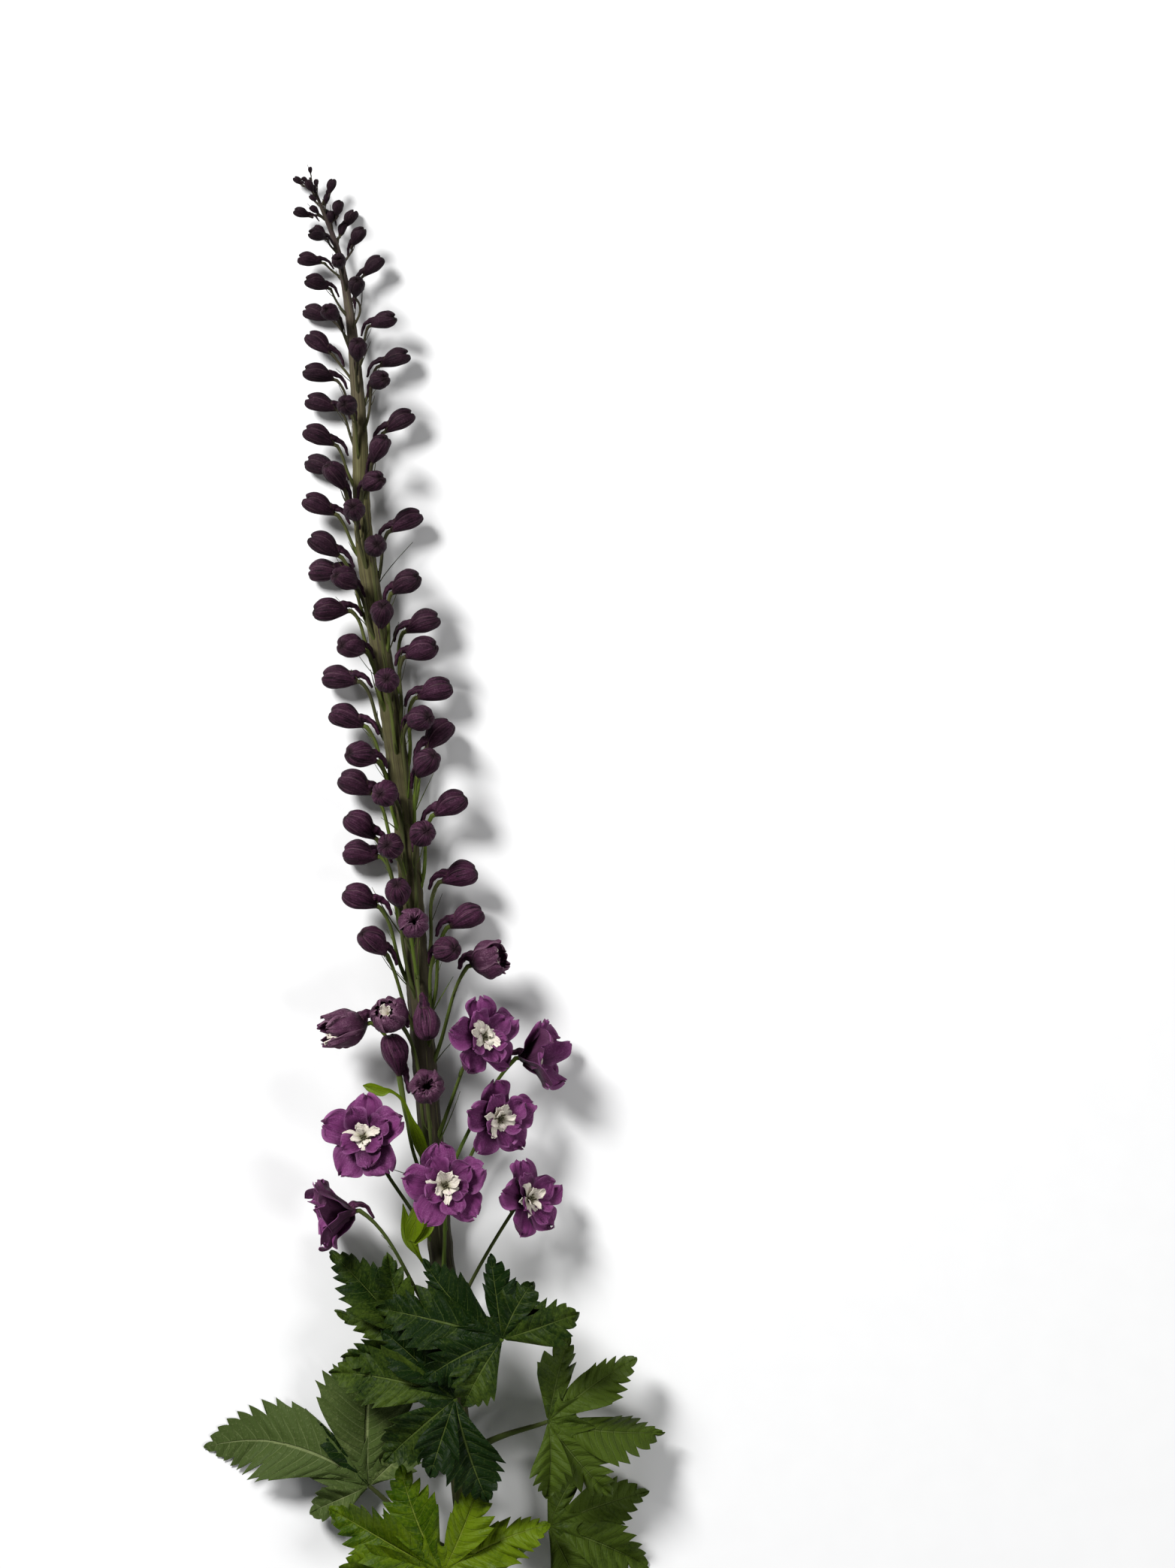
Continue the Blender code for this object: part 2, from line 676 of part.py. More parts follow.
def make_leaf(stem, name, root, centre, tilt, lobes):
    centre = Vector(centre) * MM + CENTRE_SHIFT
    lobes = sorted(lobes)
    work = bmesh.new()

    def point(flat, fold=0.0):
        place = leaf_surface(flat, tilt, 1.0) + Vector((0, 0, fold))
        place = place + centre
        place.z = max(place.z, LEAF_BLADE / 2)
        return work.verts.new(place)

    middle = point(Vector((0, 0, 0)))
    notches = []
    for (turn, length, _), (next_turn, next_length, _) in zip(lobes, lobes[1:]):
        angle = math.radians((turn + next_turn) / 2)
        wide = 0.20 if next_turn - turn < 60 else 0.10
        reach = wide * (length + next_length) / 2 * MM
        notches.append(point(Vector((math.cos(angle), math.sin(angle), 0)) * reach))
    for number, (turn, length, width) in enumerate(lobes):
        length = length * MM
        along = Vector((math.cos(math.radians(turn)), math.sin(math.radians(turn)), 0))
        left = Vector((-along.y, along.x, 0))
        rib = {t: point(along * length * t) for t in (0.24, 0.50, 0.76)}
        tip = point(along * length)
        for side, notch_place in ((1, number), (-1, number - 1)):
            half = width * MM / 2
            if 0 <= notch_place < len(notches):
                first = notches[notch_place]
                room = math.radians(abs(lobes[number + side][0] - turn) / 2 - 2)
                half = min(half, LOBE_EDGE[0][0] * length * math.tan(room))
            else:
                first = point(along * length * 0.16 + left * side * half * 0.35)
            edge = [first]
            for t, share in LOBE_EDGE:
                flat = along * length * t + left * side * half * share
                edge.append(point(flat, 0.16 * half * share))
            edge.append(tip)
            ribs = [rib[0.24]] + [rib[t] for t in LOBE_RIB[1:]] + [tip]
            faces = [(middle, rib[0.24], first)]
            for a, b, c, d in zip(edge, edge[1:], ribs, ribs[1:]):
                if c is d or c is tip:
                    faces.append((a, c, b))
                elif d is tip and b is tip:
                    faces.append((a, c, b))
                else:
                    faces.append((a, c, d))
                    faces.append((a, d, b))
            for corners in faces:
                if len(set(corners)) == 3:
                    work.faces.new(corners if side > 0 else corners[::-1])
    made = mesh_object(name, work)
    shell = made.modifiers.new("blade", "SOLIDIFY")
    shell.thickness = LEAF_BLADE
    shell.offset = 0.0
    settle(made)
    press_on_surface(made)
    point_on_stem, towards_tip, _, _ = stem.frame(root * MM)
    away = centre - point_on_stem
    away = (away - towards_tip * away.dot(towards_tip)).normalized()
    start = point_on_stem + away * (stem.radius(root * MM) + GAP + 1.4 * MM)
    bend = (centre - start).length
    line = [bezier(start, start + (away + towards_tip * 0.6) * bend * 0.35,
                   centre - (centre - start) * 0.25, centre, i / 4) for i in range(5)]
    stalk = tube("leaf_stalk", line, [1.6 * MM, 1.5 * MM, 1.4 * MM, 1.3 * MM, 1.2 * MM])
    return joined(name, [made, stalk])


# The two leafy bracts among the lowest stalks: the middle lines of their blades, and the half
# width at each point. Both stand in front of the stem.
BRACTS = {
    "bract_cut": [
        [((31, -182, 20), 1.0), ((27, -175, 26), 1.1), ((22, -164, 30), 3.8), ((19, -147, 33), 0.5)],
        [((23, -167, 30), 2.0), ((26, -156, 34), 4.6), ((30, -139, 35), 0.5)],
        [((24, -168, 29), 2.0), ((31, -160, 31), 4.0), ((37, -152, 31), 0.5)],
    ],
    "bract_hooked": [
        [((32, -128, 22), 1.2), ((29, -119, 25), 3.0), ((26, -110, 29), 3.2), ((23, -102, 33), 1.4),
         ((19, -92, 38), 0.9), ((13, -87, 40), 0.9), ((8, -87, 40), 2.6), ((2, -85, 39), 2.4),
         ((-2, -84, 38), 0.8)],
    ],
}


def make_ribbon(line, thickness):
    """A blade along a middle line of points, each with a half width."""
    work = bmesh.new()
    places = [Vector(point) * MM + CENTRE_SHIFT for point, _ in line]
    rows = []
    for number, (place, (_, half)) in enumerate(zip(places, line)):
        before, after = places[max(number - 1, 0)], places[min(number + 1, len(places) - 1)]
        across = (after - before).cross(Z_UP).normalized() * half * MM
        fold = Z_UP * half * 0.3 * MM
        rows.append([work.verts.new(p) for p in (place - across + fold, place, place + across + fold)])
    for low, high in zip(rows, rows[1:]):
        for side in range(2):
            work.faces.new((low[side], low[side + 1], high[side + 1], high[side]))
    bmesh.ops.triangulate(work, faces=work.faces)
    made = mesh_object("ribbon", work)
    shell = made.modifiers.new("blade", "SOLIDIFY")
    shell.thickness = thickness
    shell.offset = 0.0
    return settle(made)


def build():
    clear_scene()
    materials = make_materials()
    parts = bpy.data.collections.new("delphinium_spike")
    bpy.context.scene.collection.children.link(parts)
    stem = Stem()
    florets = spiral_florets(stem) + lower_florets(stem)
    spread_apart(stem, florets)
    tip_florets, own_florets = florets[:TIP_FLORETS], florets[TIP_FLORETS:]
    tip_length = tip_florets[-1].root + 2.0 * MM

    count = 16
    below = stem.length - tip_length - GAP
    distances = [tip_length + GAP + below * i / count for i in range(count + 1)]
    line = [stem.at(d) for d in distances]
    pieces = [tube("stem", line, [stem.radius(d) for d in distances], resolution=2)]
    pieces += [make_stalk(floret) for floret in own_florets]
    body = joined("stem", pieces)
    press_on_surface(body)
    finished(body, materials["stem_green"], parts)

    distances = [tip_length * i / 8 for i in range(9)]
    line = [stem.at(d) for d in distances]
    pieces = [tube("spike_tip", line, [stem.radius(d) for d in distances], resolution=1)]
    for floret in tip_florets:
        pieces.append(make_young_stalk(floret))
        rings = 4 if floret.root > 40 * MM else 3
        body = make_bud_body(floret.length, floret.width, sides=6, rings=rings)
        place_floret(body, floret)
        body.data.transform(Matrix.Translation(-floret.facing * 2 * GAP))
        pieces.append(body)
    tip = joined("spike_tip", pieces)
    press_on_surface(tip)
    finished(tip, materials["tip_purple"], parts)

    for floret in own_florets:
        if floret.kind == "bud":
            finished(make_bud(floret), materials["bud_purple"], parts)
        elif floret.kind == "opening":
            finished(make_opening_bud(floret), materials["bud_purple"], parts)
        else:
            finished(make_bloom(floret), materials["petal_purple"], parts)
            finished(make_bee(floret), materials["bee_white"], parts)

    for leaf in LEAVES:
        finished(make_leaf(stem, *leaf), materials["leaf_green"], parts)
    for name, blades in BRACTS.items():
        bract = joined(name, [make_ribbon(line, LEAF_BLADE) for line in blades])
        finished(bract, materials["bract_green"], parts)


build()
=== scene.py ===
# %% [markdown]
# # A cut delphinium flower spike
#
# This lesson dresses a plain solid model of one delphinium spike, lying on a pale surface with
# its tip towards +Y, and seen from straight above. All lengths are in metres.
#
# The packed solids come first, as a fixed frame. Each finer piece that is made here stands for
# one or more of them, so it uses the same stem line and the same places of the florets.

import math

import bpy
import numpy as np
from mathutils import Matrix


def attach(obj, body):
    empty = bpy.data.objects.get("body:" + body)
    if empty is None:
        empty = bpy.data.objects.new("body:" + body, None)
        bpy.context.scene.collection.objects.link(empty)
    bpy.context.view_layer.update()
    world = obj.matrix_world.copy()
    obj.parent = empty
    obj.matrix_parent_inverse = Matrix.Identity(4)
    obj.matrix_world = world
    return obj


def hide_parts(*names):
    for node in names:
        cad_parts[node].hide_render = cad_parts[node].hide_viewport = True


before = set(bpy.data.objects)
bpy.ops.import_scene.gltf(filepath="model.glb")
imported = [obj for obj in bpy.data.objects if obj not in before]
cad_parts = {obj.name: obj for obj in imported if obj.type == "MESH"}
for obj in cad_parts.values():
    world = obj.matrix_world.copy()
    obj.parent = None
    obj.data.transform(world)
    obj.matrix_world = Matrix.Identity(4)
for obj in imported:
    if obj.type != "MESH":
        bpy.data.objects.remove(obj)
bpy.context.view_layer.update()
MM = 0.001

# %% [markdown]
# ## Camera, surface and light
#
# The flower lies on a pale surface and the camera looks straight down on it. A long lens from
# 2.4 m away keeps the spike's outline almost free of perspective. The picture is taller than it
# is wide, so the field is set by its height.

# %% The camera
PICTURE_HEIGHT = 834.8 * MM  # what the picture shows of the surface, from its lower to its upper edge
PICTURE_MIDDLE = (81.7 * MM, 75.4 * MM)
MEASURED_AT = 22 * MM  # the height above the surface at which the picture has this scale
CAMERA_DISTANCE = 2400 * MM
SENSOR_HEIGHT = 24.0  # in mm, like the length of the lens

lens = bpy.data.cameras.new("camera")
lens.sensor_fit = "VERTICAL"
lens.sensor_height = SENSOR_HEIGHT
lens.lens = SENSOR_HEIGHT * CAMERA_DISTANCE / PICTURE_HEIGHT
camera = bpy.data.objects.new("camera", lens)
camera.location = (*PICTURE_MIDDLE, MEASURED_AT + CAMERA_DISTANCE)
bpy.context.scene.collection.objects.link(camera)
bpy.context.scene.camera = camera
bpy.context.scene.view_settings.view_transform = "Standard"
print("lens:", round(lens.lens, 1), "mm")

# %% [markdown]
# Soft light shows dark petals best. A large lamp stands to the upper left, a weaker one to the
# right, and a dim, even sky lightens the shadows, as in a white photographic tent.

# %% The lamps and the sky
def add_lamp(name, place, size, power):
    """A round lamp that shines at the middle of the flower. Its power is in watts."""
    lamp = bpy.data.lights.new(name, "AREA")
    lamp.shape = "DISK"
    lamp.size = size
    lamp.energy = power
    holder = bpy.data.objects.new(name, lamp)
    holder.location = place
    aim = -holder.location.normalized()
    holder.rotation_euler = aim.to_track_quat("-Z", "Y").to_euler()
    bpy.context.scene.collection.objects.link(holder)
    return holder


lamps = [
    add_lamp("key_lamp", (-1.2, 1.3, 1.6), 0.8, 86),
    add_lamp("fill_lamp", (1.5, -0.9, 1.7), 1.0, 20),
]
sky = bpy.data.worlds.new("sky")
bpy.context.scene.world = sky
sky.use_nodes = True
sky.node_tree.nodes["Background"].inputs["Color"].default_value = (0.97, 0.98, 1.0, 1.0)
sky.node_tree.nodes["Background"].inputs["Strength"].default_value = 0.18
print("lamps:", [lamp.name for lamp in lamps])

# %% [markdown]
# ## Writing finishes as sums
#
# A finish is a small network of nodes. It reads better as a sum, so `Wire` wraps one output
# socket and turns each operator into a Math node. Colours and directions don't go through Math
# nodes, which would turn them grey: `Finish` has `mixed` for colours, and `node` for all else.
#
# `Wire` has only the operators that the finishes use, each with its reflected form, so that
# 1 - mask works as well as mask - 1.

# %% One wire
class Wire:
    """One output socket. Operators on it add Math nodes."""

    def __init__(self, finish, socket):
        self.finish, self.socket = finish, socket

    def maths(self, operation, first, second=0.0):
        return self.finish.node("ShaderNodeMath", {"operation": operation}, {0: first, 1: second})

    def __add__(self, other):
        return self.maths("ADD", self, other)

    __radd__ = __add__

    def __sub__(self, other):
        return self.maths("SUBTRACT", self, other)

    def __rsub__(self, other):
        return self.maths("SUBTRACT", other, self)

    def __mul__(self, other):
        return self.maths("MULTIPLY", self, other)

    __rmul__ = __mul__

    def __truediv__(self, other):
        return self.maths("DIVIDE", self, other)

    def __rtruediv__(self, other):
        return self.maths("DIVIDE", other, self)

    def size(self):
        return self.maths("ABSOLUTE", self)

    def fraction(self):
        return self.maths("FRACT", self)


print("methods of a wire:", sum(callable(getattr(Wire, name)) for name in vars(Wire)))

# %% [markdown]
# Every surface made below carries a "grain": three numbers at each point. The first runs across
# the piece, the second along it from base to tip, and the third sets the piece's own tint. With
# them, veins and streaks follow a petal however it bends, without unwrapping it.

# %% One finish
PIECE_APART = 37.0  # pieces of different tints read the noise this far apart


class Finish:
    """A material with one Principled shader, and the nodes that feed it."""

    def __init__(self, name, **numbers):
        self.material = bpy.data.materials.new(name)
        self.material.use_nodes = True
        self.tree = self.material.node_tree
        self.shader = self.tree.nodes["Principled BSDF"]
        for socket, number in numbers.items():
            self.shader.inputs[socket.replace("_", " ")].default_value = number

    def node(self, kind, settings, inputs, output=0):
        """Any node: first its settings, then the values or wires of its sockets."""
        made = self.tree.nodes.new(kind)
        for name, value in settings.items():
            if name == "stops":
                self.set_stops(made.color_ramp, value)
            else:
                setattr(made, name, value)
        for name, value in inputs.items():
            self.join(made.inputs[name], value)
        return Wire(self, made.outputs[output])

    def set_stops(self, ramp, stops):
        while len(ramp.elements) < len(stops):
            ramp.elements.new(1.0)
        for element, (place, colour) in zip(ramp.elements, stops):
            element.position = place
            element.color = (*colour, 1.0)

    def join(self, socket, value):
        if isinstance(value, Wire):
            self.tree.links.new(value.socket, socket)
        elif socket.type == "RGBA":
            socket.default_value = (*value, 1.0)
        else:
            socket.default_value = value

    def mixed(self, share, first, second):
        """The first colour where the share is 0, the second where it is 1."""
        return self.node("ShaderNodeMix", {"data_type": "RGBA"}, {0: share, 6: first, 7: second}, 2)

    def ramp(self, share, stops):
        return self.node("ShaderNodeValToRGB", {"stops": stops}, {"Fac": share})

    def step(self, value, low, high):
        """0 up to low, 1 from high on and smooth between them. It falls where low is the larger."""
        return self.node("ShaderNodeMapRange", {"interpolation_type": "SMOOTHSTEP"},
                         {"Value": value, "From Min": low, "From Max": high})

    def grain(self):
        read = self.node("ShaderNodeAttribute", {"attribute_name": "grain"}, {}, "Vector")
        return [self.node("ShaderNodeSeparateXYZ", {}, {0: read}, i) for i in range(3)]

    def place(self):
        return self.node("ShaderNodeTexCoord", {}, {}, "Object")

    def height(self):
        """How far up the spike, in metres from the middle of its length."""
        return self.node("ShaderNodeSeparateXYZ", {}, {0: self.place()}, 1)

    def noise(self, scale, detail=3.0, vector=None):
        return self.node("ShaderNodeTexNoise", {},
                         {"Vector": vector or self.place(), "Scale": scale, "Detail": detail})

    def streaks(self, across, along, tint, count, stretch):
        """Noise drawn out along the piece: about count lines, with about stretch changes in each."""
        line = self.node("ShaderNodeCombineXYZ", {}, {0: across * count, 1: along * stretch,
                                                      2: tint * PIECE_APART})
        return self.noise(1.0, 2.0, line)

    def wear(self, colour, relief=None, roughness=None, depth=0.0):
        """Joins the finished colour, roughness and relief, of a depth in metres, to the shader."""
        self.join(self.shader.inputs["Base Color"], colour)
        if roughness is not None:
            self.join(self.shader.inputs["Roughness"], roughness)
        if relief is not None:
            bump = self.node("ShaderNodeBump", {}, {"Height": relief, "Distance": depth,
                                                    "Strength": 1.0}, "Normal")
            self.join(self.shader.inputs["Normal"], bump)
        return self.material


print("sockets of a finish:", len(Finish("trial").shader.inputs))
bpy.data.materials.remove(bpy.data.materials["trial"])

# %% [markdown]
# ## The surface
#
# The surface is a plain pale sheet of card. Its faint mottling is only there so that it isn't
# one flat number.

# %% A pale sheet of card
def card_finish():
    finish = Finish("pale_card", Roughness=0.9)
    return finish.wear(finish.mixed(finish.noise(60.0), (0.80, 0.80, 0.80), (0.83, 0.83, 0.83)))


def make_floor():
    mesh = bpy.data.meshes.new("floor")
    half, low = 4.0, -0.6 * MM
    mesh.from_pydata([(-half, -half, low), (half, -half, low), (half, half, low), (-half, half, low)],
                     [], [(0, 1, 2, 3)])
    mesh.materials.append(card_finish())
    floor = bpy.data.objects.new("floor", mesh)
    bpy.context.scene.collection.objects.link(floor)
    return floor


print("surface:", make_floor().name)

# %% [markdown]
# ## The stem line
#
# The stem of a delphinium is one smooth line, a little bent. A Catmull-Rom curve through a few
# measured points gives it, and each place on it is named by its distance down from the tip. The
# points are x to the right, y towards the tip and z above the surface, in mm.

# %% The stem line
STEM_KNOTS = [
    (60, -400, 6.2), (54.4, -342, 7.2), (46.4, -259, 9), (38.4, -175, 11.5), (32.8, -112, 14),
    (25.2, -17, 15), (20.4, 44, 15), (12.8, 106, 14.5), (4.4, 159, 14), (-3.2, 213, 13),
    (-5.2, 269, 12), (-9.6, 321, 11), (-16.4, 359, 10), (-25.2, 383, 9.5), (-32, 400, 9),
]
CENTRE_SHIFT = np.array([-35.1, 0.0, 0.0])  # brings the middle of the solids' box to x = 0
UP = np.array([0.0, 0.0, 1.0])
TIP_RADIUS = 0.6 * MM
SWELL = 6.0 * MM  # what an endless stem would add to that radius
SWELL_LENGTH = 175 * MM  # after this length, about two thirds of the swell is reached


def in_frame(points):
    """Places in the frame, in metres, of points that were measured in mm."""
    return (np.array(points) + CENTRE_SHIFT) * MM


def unit(ways):
    return ways / np.maximum(np.linalg.norm(ways, axis=-1, keepdims=True), 1e-12)


def smooth_line(points, steps=12):
    """Points of a Catmull-Rom curve through the given ones."""
    points = np.asarray(points, float)
    ends = np.vstack([2 * points[0] - points[1], points, 2 * points[-1] - points[-2]])
    t = np.linspace(0, 1, steps, endpoint=False)[:, None]
    line = [
        0.5 * (2 * a + (b - before) * t + (2 * before - 5 * a + 4 * b - after) * t**2
               + (3 * a - before - 3 * b + after) * t**3)
        for before, a, b, after in zip(ends, ends[1:], ends[2:], ends[3:])
    ]
    return np.vstack([*line, points[-1:]])


class Stem:
    """The stem's middle line. Distances run down from the tip."""

    def __init__(self):
        self.points = smooth_line(in_frame(STEM_KNOTS[::-1]))
        steps = np.linalg.norm(np.diff(self.points, axis=0), axis=1)
        self.distances = np.concatenate([[0.0], np.cumsum(steps)])
        self.length = self.distances[-1]

    def at(self, distance):
        return np.stack([np.interp(distance, self.distances, self.points[:, i]) for i in range(3)], -1)

    def towards_tip(self, distance):
        return unit(self.at(distance - 4 * MM) - self.at(distance + 4 * MM))

    def radius(self, distance):
        return TIP_RADIUS + SWELL * (1 - np.exp(-np.asarray(distance) / SWELL_LENGTH))


stem = Stem()
print("stem length in mm:", round(stem.length / MM, 1))

# %% [markdown]
# ## The places of the florets
#
# Each floret is a bud or a bloom on a stalk, with a spur behind it. They could be modelled one by
# one, but a few numbers tell them apart: where the stalk leaves the stem, where the base of the
# floret is, the way that it faces, its length and its width. Its finer pieces are drawn from them.

# %% One floret
STALK_POINTS = np.array([0.33, 0.5, 0.67, 0.84, 1.0])  # where a stalk is kept clear of its neighbours
CLEAR_PULLS = (0.9, 0.35)  # along the stem and along the floret, for the stalk that is kept clear
DRAWN_PULLS = (0.6, 0.75)  # the same for the stalk that is drawn
CLEAR_LIFT, DRAWN_LIFT = 0.34, 0.27  # how far a spur stands off, as a share of the floret's width
OPEN_BASE = 13 * MM  # how wide an open bloom is where its spur leaves it


def smooth_step(low, high, value):
    share = np.clip((value - low) / (high - low), 0.0, 1.0)
    return share * share * (3 - 2 * share)


def bezier(start, first, second, end, t):
    """Points of a Bezier curve at the shares t of its way."""
    return start * (1 - t)**3 + first * 3 * t * (1 - t)**2 + second * 3 * t**2 * (1 - t) + end * t**3


class Floret:
    """A bud or a bloom, its stalk and its spur. root is a distance from the tip of the stem."""

    def __init__(self, name, kind, root, base, facing, length, width, pinned=False):
        self.name, self.kind, self.pinned = name, kind, pinned
        self.root, self.length, self.width = root, length, width
        self.base, self.bow = np.array(base), np.zeros(3)
        self.facing = unit(np.array(facing))
        self.axis_point, self.tipwards = stem.at(self.root), stem.towards_tip(self.root)
        self.stem_radius = float(stem.radius(self.root))
        self.dorsal = unit(self.tipwards - self.facing * np.dot(self.tipwards, self.facing))
        self.side = unit(np.cross(self.dorsal, self.facing))

    def is_open(self):
        return self.kind in ("bloom", "trumpet")

    def base_width(self):
        return OPEN_BASE if self.is_open() else self.width

    def outwards(self):
        away = self.base - self.axis_point
        return unit(away - self.tipwards * np.dot(away, self.tipwards))

    def stalk_curve(self, t, tipward_pull, facing_pull):
        """The stalk sets off along the stem, bends out and comes to the floret from below."""
        start = self.axis_point + self.outwards() * 0.75 * self.stem_radius
        neck = self.base - self.facing * 1.9 * MM
        span = np.linalg.norm(neck - start)
        along = self.tipwards - self.facing * min(0.0, np.dot(self.tipwards, self.facing))
        first = start + (self.tipwards * 0.85 + self.outwards() * 0.5) * span * 0.4 + self.bow
        second = neck - (along * tipward_pull + self.facing * facing_pull) * span * 0.3 + self.bow
        return bezier(start, first, second, neck, t[:, None])

    def stalk_line(self):
        curve = self.stalk_curve(np.linspace(0, 1, 14), *DRAWN_PULLS)
        return np.vstack([curve, self.base + self.facing * 0.4 * MM, self.base + self.facing * 1.6 * MM])

    def stalk_radius(self):
        grown = min(1.0, self.length / (9 * MM))
        return grown**1.5 * (0.52 + 0.45 * smooth_step(0, 300 * MM, self.root)) * MM

    def spur_knots(self, lift):
        """It leaves the base on the dorsal side, runs back and bends down along its stalk."""
        width = self.base_width()
        room = np.dot(self.base - self.axis_point, self.outwards()) - self.stem_radius
        share = 0.45 if self.kind == "opening" else 0.66
        spur = min(share * self.length, 11.5 * MM, max(0.0, room) * 1.5)
        spur = 14 * MM if self.is_open() else spur
        down = unit(-self.tipwards - self.facing * 0.5)
        first = self.base + self.facing * 0.2 * self.length + self.dorsal * 0.17 * width
        second = self.base + self.facing * 0.02 * self.length + self.dorsal * lift * width
        third = second - self.facing * 0.36 * spur + down * 0.12 * spur
        return np.array([first, second, third, third + down * 0.56 * spur])

    def spur_line(self):
        return smooth_line(self.spur_knots(DRAWN_LIFT), steps=8)

    def balls(self):
        """Round balls that stand for the floret, each as its place and its radius."""
        if self.is_open():
            turns = np.radians(np.arange(0, 360, 60))[:, None]
            ring = self.dorsal * np.cos(turns) + self.side * np.sin(turns)
            places = self.base + self.facing * 7 * MM + ring * 0.33 * self.width
            places = np.vstack([places, self.base + self.facing * 4 * MM])
            radii = [0.2 * self.width] * len(turns) + [5 * MM]
        else:
            places = self.base + self.facing * np.array([[0.22], [0.50], [0.76]]) * self.length
            radii = [0.40 * self.width, 0.50 * self.width, 0.425 * self.width]
        places = np.vstack([places, self.spur_knots(CLEAR_LIFT)[2:]])
        return np.column_stack([places, [*radii, 1.5 * MM, 1.5 * MM]])

    def placed(self, places):
        """Turns a shape drawn along +Z, with its dorsal side on +Y, the way that the floret faces."""
        turn = np.stack([self.side, np.cross(self.facing, self.side), self.facing])
        return places @ turn + self.base


print("points at which each stalk is kept clear:", len(STALK_POINTS))

# %% [markdown]
# The florets grow round the stem in a golden-angle spiral: from the tip down, each one stands
# 137.5 degrees further round than the one before. The older it is, the longer its stalk and the
# wider its bud. Here the same rule places them, with a little chance in each turn and lean. The
# spike lies on a surface, which pushes them round to its upper side.

# %% The spiral of the buds
GOLDEN_ANGLE = 137.5  # degrees
SPIRAL_SEED = 21000
SPIRAL_COUNT = 63
SPIRAL_LENGTH = 474.8 * MM
SPIRAL_START = 187.9  # degrees
YOUNG_SPACING = 0.864  # 1 spaces the florets evenly, less crowds them at the tip
TURN_SHARE = 0.65  # of each turn away from the upper side, this much is left
TURN_JITTER = 30  # degrees
LEANS = (46, 84)  # degrees between the stem and the way that a floret faces
FULL_BUD = 20.5 * MM  # the length that the oldest buds come near to


def spiral_florets():
    """The buds, by the golden angle, from the tip downwards."""
    draw = np.random.default_rng(SPIRAL_SEED)
    jitters = draw.uniform(-1, 1, SPIRAL_COUNT) * TURN_JITTER
    leans = draw.uniform(*LEANS, SPIRAL_COUNT)
    for number in range(SPIRAL_COUNT):
        share = (number + 0.5) / SPIRAL_COUNT
        root = SPIRAL_LENGTH * (YOUNG_SPACING * share + (1 - YOUNG_SPACING) * share**2)
        tipwards = stem.towards_tip(root)
        right = unit(np.cross(tipwards, UP))
        reach = 6.7 * MM * (0.5 + 0.5 * smooth_step(0, 50 * MM, root)) + 0.049 * root
        rise = 11.6 * MM * (0.4 + 0.6 * smooth_step(0, 110 * MM, root)) + 0.082 * root
        turn = SPIRAL_START + GOLDEN_ANGLE * number + jitters[number]
        turn = math.radians(((turn + 180) % 360 - 180) * TURN_SHARE)
        outwards = right * math.sin(turn) + np.cross(right, tipwards) * math.cos(turn)
        lean = math.radians(leans[number] * (0.5 + 0.5 * smooth_step(0, 60 * MM, root)))
        facing = tipwards * math.cos(lean) + outwards * math.sin(lean)
        middle = stem.at(root) + tipwards * rise + outwards * reach
        length = FULL_BUD * (1 - math.exp(-(root + 26 * MM) / (75 * MM)))
        width = length * (0.60 + 0.12 * smooth_step(150 * MM, 380 * MM, root))
        yield Floret(f"bud_{number + 1:02d}", "bud", root, middle - facing * length / 2, facing,
                     length, width)


spiral = list(spiral_florets())
print("buds in the spiral:", len(spiral), "longest in mm:", round(spiral[-1].length / MM, 1))

# %% [markdown]
# The oldest florets have turned on their stalks to face the light. The rule can't tell where they
# are, so they are listed one by one, with measures in mm: kind, root below the tip, middle, the way
# that it faces, length and width. A bloom's length is the depth of its cup, and its width is its
# diameter.

# %% The oldest florets
LOWER_FLORETS = {
    "opening_bud_front": ("opening", 440, (25, 2, 43), (0.15, 0.25, 1), 17, 15),
    "opening_bud_right": ("opening", 480, (64, -18, 29), (0.9, 0.3, 0.35), 21, 19),
    "opening_bud_left": ("opening", 530, (-10, -54, 28), (-1, -0.2, 0.35), 22, 19),
    "opening_bud_cup": ("opening", 525, (13, -47, 42), (-0.5, 0.5, 0.75), 19, 19),
    "rising_bud": ("bud", 545, (14, -68, 30), (-0.25, 0.95, 0.2), 24, 15),
    "nodding_bud": ("bud", 435, (31, -50, 42), (0.2, -0.85, 0.3), 22, 15),
    "opening_bud_low": ("opening", 540, (32, -84, 46), (0.05, 0.15, 1), 17, 17),
    "bloom_left": ("bloom", 575, (-1, -111, 46), (-0.2, 0.15, 1), 12, 46),
    "bloom_side": ("trumpet", 622, (-12, -152, 29), (-0.95, -0.1, 0.15), 12, 42),
    "bloom_upper_right": ("bloom", 520, (62, -58, 42), (0.5, 0.1, 0.8), 12, 42),
    "bloom_deep_right": ("trumpet", 545, (86, -70, 21), (0.95, 0.1, 0.3), 12, 40),
    "bloom_middle_right": ("bloom", 560, (70, -102, 34), (0.5, -0.1, 0.85), 12, 42),
    "bloom_front": ("bloom", 590, (42, -136, 52), (0.05, 0.1, 1), 12, 45),
    "bloom_lower_right": ("bloom", 615, (86, -145, 30), (0.7, 0.2, 0.7), 12, 42),
}


def lower_florets():
    for name, (kind, root, middle, facing, length, width) in LOWER_FLORETS.items():
        facing = unit(np.array(facing))
        base = in_frame(middle) - facing * length * MM / 2
        yield Floret(name, kind, root * MM, base, facing, length * MM, width * MM, pinned=True)


print("listed by hand:", list(LOWER_FLORETS))
